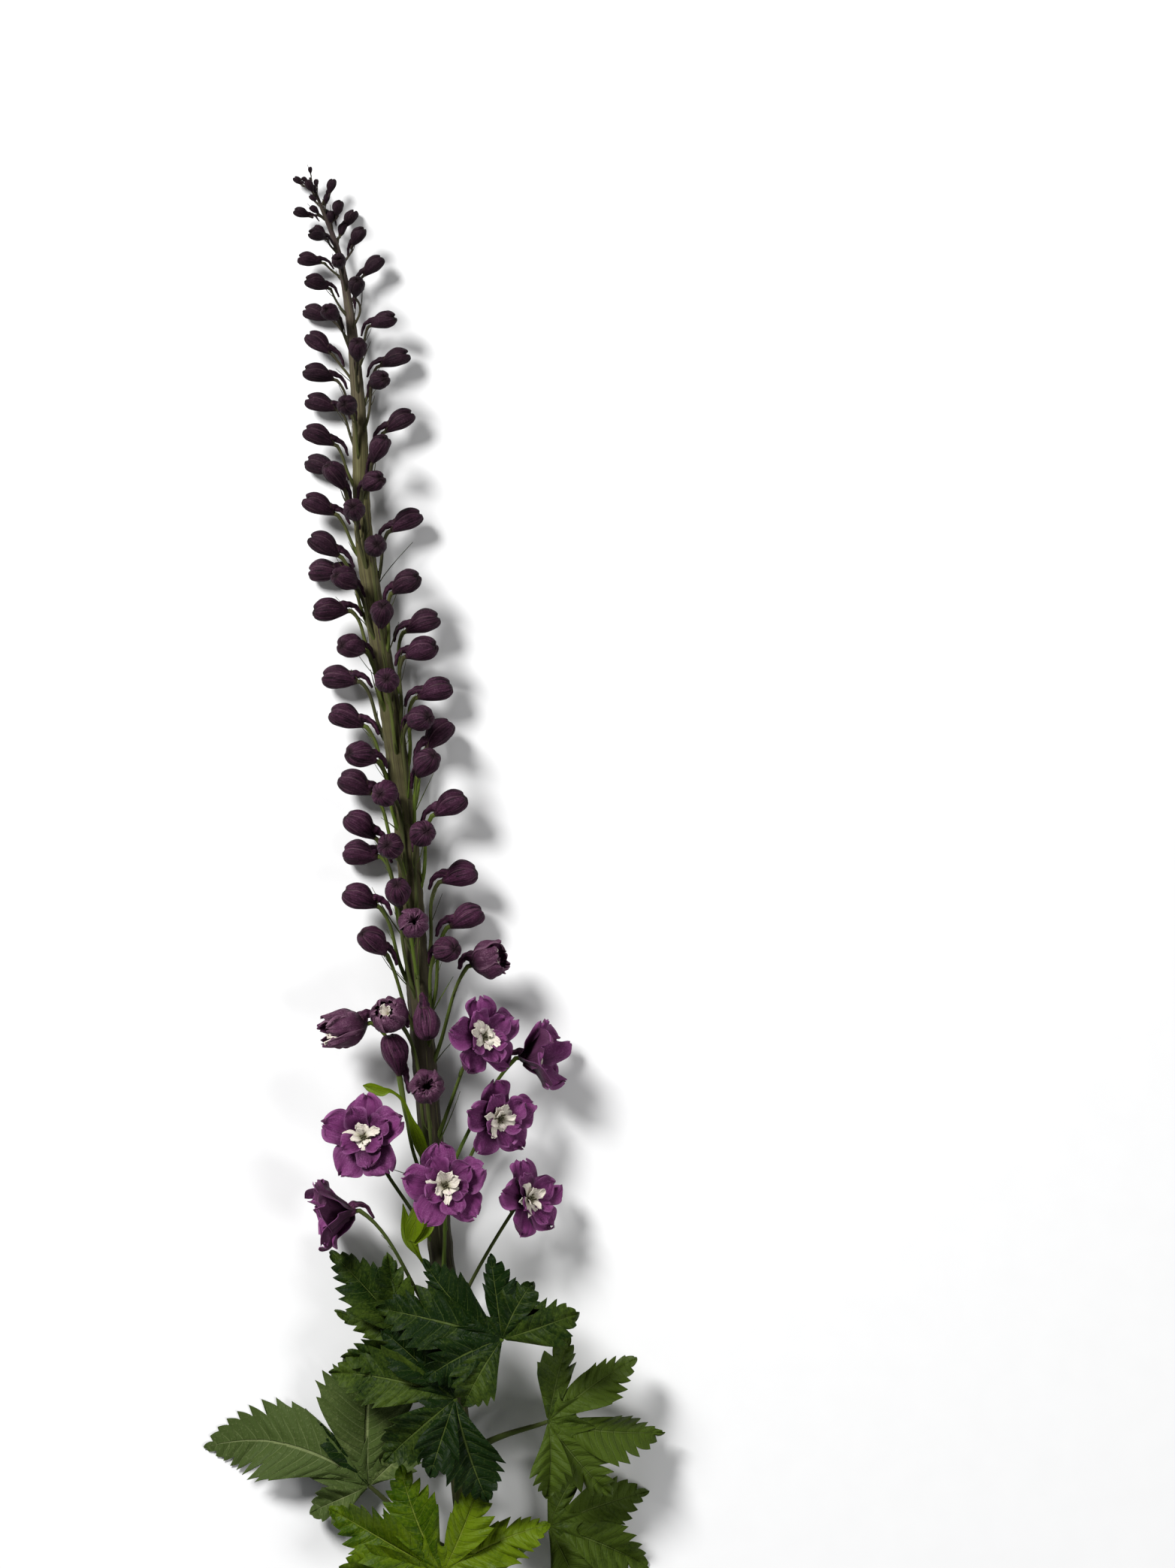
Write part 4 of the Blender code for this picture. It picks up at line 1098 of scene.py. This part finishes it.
def cup_sepal(floret, turn, mouth, curl, scale):
    """One sepal of a cup. mouth is how wide the rim stays, curl how far the end bends in."""
    chance = floret.chance
    t, s = lattice(18, 13)
    rise = np.sin(math.pi / 2 * np.clip(t / 0.52, 0, 1))**0.85
    closing = 1 - (1 - mouth) * np.clip((t - 0.52) / 0.48, 0, 1)**1.5
    radius = scale * floret.width / 2 * np.maximum(rise * closing, 0.06)
    spread = math.radians(45) * np.sqrt(np.clip(1 - np.clip((t - 0.55) / 0.47, 0, 1)**2.4, 0.0, 1))
    crinkle = ripple(s * 5 + t * 9, chance) * 0.05 + 0.06 * (1 - s**2)
    crinkle = crinkle + 0.16 * np.abs(s)**3 * ripple(t * 12, chance) * t
    crinkle = crinkle + 0.09 * ripple(s * 9, chance) * smooth_step(0.6, 1.0, t)
    radius = radius * (1 + crinkle + 0.05 * s)
    angle = math.radians(turn) + math.pi / 2 + s * spread
    ragged = 0.05 * ripple(s * 8, chance) * t**4
    height = 0.02 + 0.98 * t + ragged - curl * np.clip(t - 0.8, 0, 1)**2 * 9
    height = floret.length * scale * height
    return np.stack([radius * np.cos(angle), radius * np.sin(angle), height + 0 * s], -1), s, t


def add_cup(shape, floret, mouth, curl, scale, start, back):
    """Five sepals round the bud's axis, the first one turned by start degrees."""
    tint = floret.chance.uniform(0.2, 0.8)
    for number in range(5):
        turn = start + 72 * number + floret.chance.uniform(-5, 5)
        lip = mouth * floret.chance.uniform(0.8, 1.2)
        places, s, t = cup_sepal(floret, turn, lip, curl * floret.chance.uniform(0.5, 1.5), scale)
        places = kept_above(floret.placed(places), 0.3 * MM)
        shade = tint + floret.chance.uniform(-0.15, 0.15)
        shape.sheet(places, grain_of(s, t, shade), 0.4 * MM, front=0, back=back)


print("buds that open:", sum(floret.kind == "opening" for floret in florets))

# %% [markdown]
# A bee could be one crumpled surface, but a real one has separate lobes with ragged ends. So each
# lobe is a small sheet of its own, and the lobes stand in a star about the flower's axis.

# %% The bee
def turned_about_z(places, angle):
    x, y = places[..., 0], places[..., 1]
    turned = [x * math.cos(angle) - y * math.sin(angle), x * math.sin(angle) + y * math.cos(angle)]
    return np.concatenate([np.stack(turned, -1), places[..., 2:]], -1)


def add_bee(shape, floret, foot, lobes, reach, rise, finish, wide):
    """Small strap-like lobes in a star, each with a ragged end. reach, rise and wide are in mm."""
    chance = floret.chance
    for number in range(lobes):
        turn = 2 * math.pi * number / lobes + 0.3 + chance.uniform(-0.2, 0.2)
        long = chance.uniform(0.60, 1.20)
        t, s = lattice(9, 7)
        half = wide * MM / 2 * (0.40 + 0.80 * np.sin(math.pi * np.clip(0.05 + 0.62 * t, 0, 1)))
        notch = 0.22 * np.abs(s)**2 - 0.12 * np.exp(-(s / 0.30)**2) * chance.uniform(-0.4, 1)
        out = (0.6 + reach * long * (t - notch * t**4)) * MM
        up = foot + rise * long * MM * (t**0.8 - 0.45 * t**3 * chance.uniform(-0.3, 1.3))
        up = up + 0.5 * MM * s**2 * t * chance.uniform(-1, 1.5)
        side = s * half * chance.uniform(0.75, 1.2)
        side = side + 0.9 * MM * ripple(t * 5, chance) * t
        ragged = 0.05 * ripple(s * 7, chance) * t**3
        out = out + reach * ragged * MM
        lobe = turned_about_z(np.stack([out, side, up], -1), turn)
        shape.sheet(floret.placed(lobe), grain_of(s, t, chance.uniform()), 0.35 * MM, finish, finish)


print("a turn of 90 degrees brings x to:", turned_about_z(np.array([1.0, 0, 0]), math.pi / 2).round(6))

# %% The opening buds
CUPS = {  # how wide the rim stays, how far the ends curl in and how far the bee rises in mm
    "opening_bud_front": (0.30, 0.9, 0), "opening_bud_right": (0.62, 0.3, 9.0),
    "opening_bud_left": (0.78, -0.3, 12.5), "opening_bud_cup": (0.60, 0.4, 6.0),
    "opening_bud_low": (0.46, 1.0, 0),
}


def make_opening_buds():
    made = []
    for floret in florets:
        if floret.kind != "opening":
            continue
        mouth, curl, rise = CUPS[floret.name]
        shape = Shape()
        add_cup(shape, floret, mouth, curl, scale=1.0, start=0.0, back=1)
        add_cup(shape, floret, mouth * 0.7, curl * 1.2, scale=0.84, start=36.0, back=0)
        if rise == 0:
            add_cup(shape, floret, mouth * 0.6, curl * 1.5, scale=0.78, start=10.0, back=0)
        else:
            add_bee(shape, floret, 0.50 * floret.length, lobes=7, reach=0.45 * rise, rise=rise,
                    finish=2, wide=2.6)
        add_spur(shape, floret, finish=3)
        finishes = ["opening_sepal", "petal_back", "bee_cream", "bud_skin"]
        made.append(shape.piece(floret.name + "_sepals", finishes, "bud_purple", floret.name))
    return made


print("opening buds:", [made.name for made in make_opening_buds()])

# %% [markdown]
# ## The open blooms
#
# A bloom has five broad sepals, set in two layers, and smaller petals inside. Their edges wave,
# which catches the light as a flat disc wouldn't. Each is a sheet whose middle line leans out from
# the flower's axis, with a round, notched end, a lifted rim and a few ripples.

# %% One petal
def petal_rows(across, along, length, width, cup, splay, curl):
    """Points of a petal drawn out from the flower's axis along +Y, which leans more and more."""
    steps = 16
    out, forward = 0.0 * along, 0.0 * along
    for step in range(steps):
        lean = np.radians(cup + (splay - cup) * (step + 0.5) / steps * along)
        out = out + np.sin(lean) * length * along / steps
        forward = forward + np.cos(lean) * length * along / steps
    half = width / 2 * (0.28 + 0.72 * np.sin(math.pi * np.minimum(1.0, 0.08 + 0.60 * along))**1.1)
    half = half * np.maximum(0.0, 1 - np.maximum(0.0, (along - 0.60) / 0.405)**2.9)**0.52
    lift = curl * width * across**2 * np.sin(math.pi * np.minimum(1.0, 0.2 + 0.6 * along))
    return np.stack([across * half, 1.2 * MM + out + 0 * across, forward + lift], -1)


PETAL_ROWS, PETAL_COLUMNS = 26, 21


def add_petal(shape, floret, turn, length, width, cup, splay, curl, height):
    chance = floret.chance
    along = np.linspace(0, 0.995, PETAL_ROWS)[:, None]
    across = np.linspace(-1, 1, PETAL_COLUMNS)[None]
    turn = turn + chance.uniform(-5, 5)
    splay = splay + chance.uniform(-5, 5)
    places = petal_rows(across, along, length, width, cup, splay, curl)
    rim = np.abs(across)**2.2 * np.minimum(1.0, along * 2)
    end = smooth_step(0.6, 1.0, along)
    wave = ripple(along * chance.uniform(6, 11) + across * 2, chance) * rim
    wave = wave + ripple(across * chance.uniform(3, 6), chance) * end
    wave = wave + 0.35 * ripple(across * 14 + along * 6, chance) * end
    wave = wave + 0.8 * np.tanh(6 * (across - chance.uniform(-0.5, 0.5))) * along
    places[..., 2] += wave * 0.075 * width + 0.08 * width * chance.uniform(-1, 1) * across * along
    places[..., 0] += 0.06 * width * ripple(along * 7, chance) * rim
    notch = chance.uniform(-0.08, 0.05) * np.exp(-(across / 0.22)**2)
    notch = notch + 0.035 * ripple(across * 8, chance)
    notch = notch + 0.022 * ripple(across * 19, chance)
    places[..., 1] += notch * length * end**2
    keel = np.exp(-(across / 0.16)**2) * np.sin(math.pi * along) * 0.02 * width
    places[..., 2] += height - keel
    places = kept_above(floret.placed(turned_about_z(places, math.radians(turn))), 0.4 * MM)
    thick = 0.45 * MM * (1 - 0.5 * across**2)
    shape.sheet(places, grain_of(across, along, chance.uniform()), thick, front=0, back=1)


print("points of a petal:", PETAL_ROWS * PETAL_COLUMNS)

# %% The layers of petals
# Each layer: turns about the axis, length and width as shares of the bloom's radius, the angles
# from the axis at the base and at the end, the edges' curl, height of the base in mm.
PETAL_LAYERS = {
    "bloom": [
        ((0, 144), 0.98, 0.84, 60, 93, 0.03, 0.8),
        ((216,), 0.98, 0.84, 60, 92, 0.03, 1.9),
        ((72, 288), 0.98, 0.84, 60, 90, 0.06, 3.0),
        ((20, 195, 300), 0.72, 0.62, 54, 80, 0.13, 4.2),
        ((120, 245), 0.55, 0.52, 50, 66, 0.16, 4.8),
    ],
    "trumpet": [
        ((0, 144), 1.18, 1.12, 34, 58, 0.03, 0.8),
        ((216,), 1.18, 1.12, 34, 57, 0.03, 2.2),
        ((72, 288), 1.18, 1.12, 34, 56, 0.06, 3.6),
        ((36, 180), 0.6, 0.5, 28, 36, 0.10, 4.2),
    ],
}


print("layers:", {kind: len(layers) for kind, layers in PETAL_LAYERS.items()})

# %% [markdown]
# The stamens crowd under the bee, on a small boss. Hair particles could draw them, but a few thin
# tubes are enough at this size, each with a thicker end for its anther.

# %% The stamens and the boss that carries them
STAMENS = 18
STAMEN_TURN = 2.4  # radians, close to the golden angle
STAMEN_RADII = np.array([0.25, 0.25, 0.25, 0.25, 0.5, 0.55, 0.25]) * MM  # the thick part is the anther
BOSS = np.array([(0.0, 1.2), (1.5, 2.6), (3.5, 2.9), (5.2, 2.2), (5.6, 0.8)]) * MM  # height and radius


def add_stamens(shape, floret, foot, finish):
    chance = floret.chance
    for number in range(STAMENS):
        turn = number * STAMEN_TURN
        out = (0.3 + 0.14 * number) * MM
        start = np.array([out * math.cos(turn), out * math.sin(turn), foot])
        end = start * np.array([1.3, 1.3, 1.0]) + np.array([0, 0, chance.uniform(2.0, 3.6) * MM])
        line = floret.placed(np.linspace(start, end, len(STAMEN_RADII)))
        shape.tube(line, STAMEN_RADII, 6, chance.uniform(), finish)


print("stamens in all:", STAMENS * sum(floret.is_open() for floret in florets))

# %% The open blooms
def make_blooms():
    made = []
    for floret in florets:
        if not floret.is_open():
            continue
        size = floret.width / 2
        shape = Shape()
        for turns, length, width, cup, splay, curl, height in PETAL_LAYERS[floret.kind]:
            for turn in turns:
                add_petal(shape, floret, turn, length * size, width * size, cup, splay, curl,
                          height * MM)
        add_spur(shape, floret, finish=2)
        shape.tube(floret.placed(BOSS[:, :1] * UP), BOSS[:, 1], sides=12, finish=2)
        made.append(shape.piece(floret.name + "_petals", ["petal_face", "petal_back", "bud_skin"],
                                "petal_purple", floret.name))
        shape = Shape()
        narrow = 0.48 if floret.kind == "trumpet" else 1.0  # a trumpet leaves its bee less room
        foot = 5.4 * MM
        add_bee(shape, floret, foot, lobes=7, reach=9.2 * narrow, rise=5.4, finish=0, wide=4.0)
        add_bee(shape, floret, foot + 0.4 * MM, lobes=4, reach=6.2 * narrow, rise=6.6, finish=0,
                wide=3.2)
        add_stamens(shape, floret, foot, finish=1)
        bee = floret.name.replace("bloom", "bee")
        made.append(shape.piece(bee + "_tuft", ["bee_cream", "stamens"], "bee_white", bee))
    return made


print("blooms and bees:", len(make_blooms()), "triangles so far:", Shape.triangles)

# %% [markdown]
# ## The leaves
#
# The leaves are palmate: long lobes spread from one point, each cut into sharp forward teeth, with
# sunken veins that run into them. Each lobe is drawn in rows that slant forward like its veins.
# The rows' length falls at once behind each tooth, which gives the sharp, saw-like edge, and the
# blade swells between the veins. Some lobes roll one side under. A palm joins the lobes' feet.
# The back is a paler finish of its own.

# %% The leaves' finishes
def leaf_finish(name, deep, bright, vein, gloss):
    finish = Finish(name, Roughness=gloss, Specular_IOR_Level=0.07)
    across, along, tint = finish.grain()
    cloudy = finish.noise(70.0, 4.0)
    fine = finish.noise(600.0, 5.0)
    share = cloudy * 0.8 + 0.05 + (tint - 0.5) * 1.3 + (fine - 0.5) * 0.6
    colour = finish.mixed(finish.step(share, 0.20, 0.80), deep, bright)
    far = across.size()
    side_vein = (along.fraction() - 0.5).size() * 2.0
    lines = finish.step(side_vein, 0.90, 1.0) * finish.step(far, 0.95, 0.30) * 0.36
    branch = (((along * 2.0 + far * 1.3).fraction() - 0.5).size()) * 2.0
    lines = lines + finish.step(branch, 0.90, 1.0) * finish.step(far, 0.15, 0.5) * 0.16
    midrib = finish.step(far, 0.060, 0.02)
    colour = finish.mixed(lines + midrib * 0.6, colour, vein)
    web = finish.noise(900.0, 6.0)
    colour = finish.mixed(finish.step(web, 0.56, 0.70) * 0.22, colour, vein)
    relief = side_vein * -0.7 - midrib * 0.9 - finish.step(branch, 0.80, 1.0) * 0.3 + web * 0.35
    return finish.wear(colour, relief, gloss + (cloudy - 0.5) * 0.25, 0.65 * MM)


LEAF_COLOURS = {
    "leaf_dark_top": ((0.004, 0.013, 0.0015), (0.044, 0.070, 0.007), (0.080, 0.110, 0.024), 0.50),
    "leaf_bright_top": ((0.018, 0.044, 0.001), (0.088, 0.135, 0.003), (0.150, 0.190, 0.025), 0.42),
    "leaf_pale_back": ((0.045, 0.068, 0.016), (0.140, 0.172, 0.055), (0.190, 0.220, 0.095), 0.60),
}
for name, values in LEAF_COLOURS.items():
    leaf_finish(name, *values)
print("leaf finishes:", list(LEAF_COLOURS))

# %% Where the leaves lie
# Name, root below the tip, where the ribs meet, slopes along y and x in degrees, then each lobe's
# direction in degrees, its length and width and, for some, its bend in degrees. The rest is in mm.
LEAVES = [
    ("leaf_left_pale", 745, (0, -300, 11), (0, 3),
     [(168, 94, 40, 56), (131, 52, 12, 8), (88, 72, 50, -14), (40, 38, 20), (205, 34, 18)]),
    ("leaf_bright", 765, (40, -343, 31), (0, 3),
     [(183, 58, 26), (152, 68, 30), (112, 60, 28), (68, 52, 26), (24, 62, 28)]),
    ("leaf_dark", 700, (47, -249, 44), (-3, 6),
     [(170, 68, 30), (138, 52, 24), (104, 44, 22), (222, 50, 26), (288, 56, 30), (72, 34, 22),
      (252, 42, 22)]),
    ("leaf_curled", 655, (72, -216, 56), (-2, 8),
     [(168, 68, 30), (136, 58, 26), (98, 44, 22), (208, 46, 24), (20, 42, 24), (240, 40, 24),
      (62, 34, 20)]),
    ("leaf_upper_left", 640, (26, -222, 31), (0, 6),
     [(134, 66, 26), (158, 46, 14), (108, 50, 20), (190, 40, 18)]),
    ("leaf_right", 690, (96, -262, 36), (0, -12),
     [(-8, 62, 28), (34, 56, 26), (76, 46, 22), (-50, 52, 26), (-92, 40, 20)]),
    ("leaf_low_right", 760, (96, -322, 11), (0, -5),
     [(-24, 58, 26), (18, 56, 26), (60, 44, 22), (-66, 44, 22)]),
]
UPPER = {  # the sides that face up and down, where they aren't a dark top and a pale back
    "leaf_left_pale": ("leaf_pale_back", "leaf_dark_top"),
    "leaf_bright": ("leaf_bright_top", "leaf_pale_back"),
}
TURNED_OVER = ("leaf_left_pale", 131)  # this lobe is folded and shows its other side
print("lobes:", {leaf[0]: len(leaf[4]) for leaf in LEAVES})

# %% One lobe
TOOTH = 7.2 * MM  # how far apart the teeth of a lobe stand
ROWS_PER_TOOTH = 7
ARCH, DROOP = 0.14, 4.4  # the blade's slope at its middle, and how fast it bends down, per metre


def leaf_height(flat, tilt):
    """Lifts a point of the flat leaf: the blade arches, then droops to its tips."""
    distance = np.linalg.norm(flat, axis=-1)
    arch = ARCH * distance - DROOP * distance**2
    lean = flat[..., 1] * math.tan(math.radians(tilt[0]))
    return arch + lean + flat[..., 0] * math.tan(math.radians(tilt[1]))


def lobe_rows(length, width, bend, chance):
    """One flat lobe whose chord runs along +X: points, side shares, rows and tooth counts."""
    teeth = max(5, round(length / TOOTH))
    t, s = lattice(teeth * ROWS_PER_TOOTH + 1, 13)
    foot = 0.10 + 0.90 * np.sin(math.pi / 2 * np.clip(t / 0.5, 0, 1))**1.2
    outline = foot * (1 - np.clip((t - 0.42) / 0.59, 0, 1)**1.35)
    count = t * teeth + 0.35 * (s > 0)
    depths = chance.uniform(0.20, 0.60, (2, teeth + 2))
    deep = depths[(s > 0).astype(int), np.floor(count).astype(int)]
    cut = 1 - deep * smooth_step(0.30, 0.52, t) * (1 - (count % 1.0)**0.8)
    half = width / 2 * np.maximum(outline * cut, 0.004) * 1.2
    turn = math.radians(bend) * (t - 0.5)
    step = length / (len(t) - 1)
    rib_x = np.cumsum(np.cos(turn), 0) * step
    rib_y = np.cumsum(np.sin(turn), 0) * step
    slant = 0.85 * np.abs(s)**1.2 * half * (1 - 0.30 * t)
    slant = slant + 0.10 * length * (1 - t) * smooth_step(0, 1, np.abs(s)) * t
    x = rib_x + slant * np.cos(turn) - s * half * np.sin(turn)
    y = rib_y + slant * np.sin(turn) + s * half * np.cos(turn)
    return np.stack([x, y], -1), s, t, half, t * teeth


print("teeth of a lobe 60 mm long:", round(60 * MM / TOOTH))

# %% One leaf
LEAF_HEIGHTS = (0.5 * MM, 64 * MM)  # the lowest and the highest that a leaf comes


def add_leaf(shape, name, centre, tilt, lobes, chance):
    tint = chance.uniform(0.25, 0.75)
    for number, (turn, length, width, *bend) in enumerate(lobes):
        turned_over = int((name, turn) == TURNED_OVER)
        bend = bend[0] if bend else chance.uniform(-28, 28)
        flat, s, t, half, count = lobe_rows(length * MM, width * MM, bend, chance)
        angle = math.radians(turn)
        blade = turned_about_z(flat, angle)
        height = leaf_height(blade, tilt)
        roll = chance.choice([-1, 0, 1]) * chance.uniform(0.5, 1.0) * (turn < 160)
        under = np.maximum(0, s * roll)**1.3 * np.minimum(1, 3 * t)
        inwards = np.stack([math.sin(angle) * np.sign(s), -math.cos(angle) * np.sign(s)], -1)
        blade = blade + inwards * (0.55 * under * half)[..., None]
        height = height - 0.9 * under * half
        fold = chance.uniform(0.30, 0.75) * np.minimum(1, 4 * t)
        height = height + fold * np.abs(s) * half + s * half * chance.uniform(-0.5, 0.5) * t**0.5
        height = height + 0.5 * MM * number * smooth_step(0.02, 0.2, t)
        swell = 0.7 * MM * np.sin(math.pi * (count % 1.0)) * np.sin(math.pi * np.abs(s))
        wave = 3.0 * MM * ripple(t * 8 + s * 1.5, chance) * np.abs(s)**1.6
        wave = wave * np.minimum(1, 3 * t)
        wave = wave + 2.0 * MM * ripple(t * 5, chance) * t
        places = np.concatenate([blade, (height + swell + wave)[..., None]], -1) + in_frame(centre)
        places = kept_above(places, *LEAF_HEIGHTS)
        shade = tint + chance.uniform(-0.2, 0.2)
        shape.sheet(places[:, ::-1], grain_of(-s, count, shade), 0.35 * MM, turned_over, 1 - turned_over)
    add_palm(shape, centre, tilt, lobes, tint)


print("a leaf's lowest and highest place in mm:", [round(height / MM, 1) for height in LEAF_HEIGHTS])

# %% The palm and the stalk of a leaf
PALM_GAP = math.radians(75)  # lobes that stand further apart than this aren't joined


def add_palm(shape, centre, tilt, lobes, tint):
    """The blade between the feet of neighbouring lobes, raised where two of them meet."""
    middle = in_frame(centre) - 0.3 * MM * UP
    lobes = sorted(lobe[:2] for lobe in lobes)
    t = np.linspace(0, 1, 12)[:, None]
    s = np.linspace(0, 1, 15)[None]
    for (first, first_length), (second, second_length) in zip(lobes, lobes[1:]):
        gap = math.radians(second - first)
        if gap > PALM_GAP:
            continue
        angle = math.radians(first) + gap * s
        reach = (first_length * (1 - s) + second_length * s) * MM * (0.42 - 0.16 * np.sin(math.pi * s))
        flat = np.stack([t * reach * np.cos(angle), t * reach * np.sin(angle)], -1)
        ridge = 0.55 * t * reach * math.tan(gap / 2) * np.sin(math.pi * s)
        places = np.concatenate([flat, (leaf_height(flat, tilt) + ridge)[..., None]], -1) + middle
        places = kept_above(places, *LEAF_HEIGHTS)
        across = 0.35 + 0.6 * np.sin(math.pi * s)
        shape.sheet(places[:, ::-1], grain_of(across, t * 2.0, tint), 0.35 * MM, front=0, back=1)


def add_leaf_stalk(shape, root, centre, chance, finish):
    middle = in_frame(centre)
    point, tipwards = stem.at(root * MM), stem.towards_tip(root * MM)
    away = middle - point
    away = unit(away - tipwards * np.dot(away, tipwards))
    start = point + away * (float(stem.radius(root * MM)) * 0.8)
    span = np.linalg.norm(middle - start)
    t = np.linspace(0, 1, 18)[:, None]
    second = start + (away + tipwards * 0.6) * span * 0.35
    third = middle - (middle - start) * 0.25
    line = bezier(start, second, third, middle, t)
    shape.tube(line, np.linspace(2.1, 1.1, len(line)) * MM, 12, chance.uniform(), finish)


print("lobes that are joined stand at most", round(math.degrees(PALM_GAP)), "degrees apart")

# %% All the leaves
LEAF_SEED = 900


def make_leaves():
    made = []
    for number, (name, root, centre, tilt, lobes) in enumerate(LEAVES):
        chance = np.random.default_rng(LEAF_SEED + number)
        shape = Shape()
        add_leaf(shape, name, centre, tilt, lobes, chance)
        add_leaf_stalk(shape, root, centre, chance, finish=2)
        finishes = UPPER.get(name, ("leaf_dark_top", "leaf_pale_back"))
        made.append(shape.piece(name + "_blade", [*finishes, "stalk"], "leaf_green", name))
    return made


print("leaves:", [made.name for made in make_leaves()])

# %% [markdown]
# ## The two leafy bracts
#
# Two small leaves stand among the lowest stalks: one with three points and one hooked over. Each
# is a folded ribbon along a smooth line, in the fresh green of a new leaf. The points of each
# line and its half width there are listed in mm.

# %% The leafy bracts
BRACTS = {
    "bract_cut": [
        [((31, -182, 20), 1.0), ((27, -175, 26), 1.1), ((22, -164, 30), 3.8), ((19, -147, 33), 0.2)],
        [((23, -167, 30), 2.0), ((26, -156, 34), 4.6), ((30, -139, 35), 0.2)],
        [((24, -168, 29), 2.0), ((31, -160, 31), 4.0), ((37, -152, 31), 0.2)],
    ],
    "bract_hooked": [
        [((32, -128, 22), 1.2), ((29, -119, 25), 3.0), ((26, -110, 29), 3.2), ((23, -102, 33), 1.4),
         ((19, -92, 38), 0.9), ((13, -87, 40), 0.9), ((8, -87, 40), 2.6), ((2, -85, 39), 2.4),
         ((-2, -84, 38), 0.2)],
    ],
}


def make_bracts():
    made = []
    for name, blades in BRACTS.items():
        shape = Shape()
        for blade in blades:
            line = smooth_line(in_frame([point for point, _ in blade]), steps=8)
            half = smooth_line(np.array([[wide] for _, wide in blade]), steps=8)[:, 0] * MM
            ribbon(shape, line, np.maximum(half, 0.15 * MM), fold=0.3, tint=0.8)
        finishes = ["leaf_bright_top", "leaf_pale_back"]
        made.append(shape.piece(name + "_blade", finishes, "bract_green", name))
    return made


print("bracts:", [made.name for made in make_bracts()], "triangles in all:", Shape.triangles)

# %% [markdown] ## The end
# The finer pieces must fill the same box as the solids.

# %% The end
bpy.context.view_layer.update()
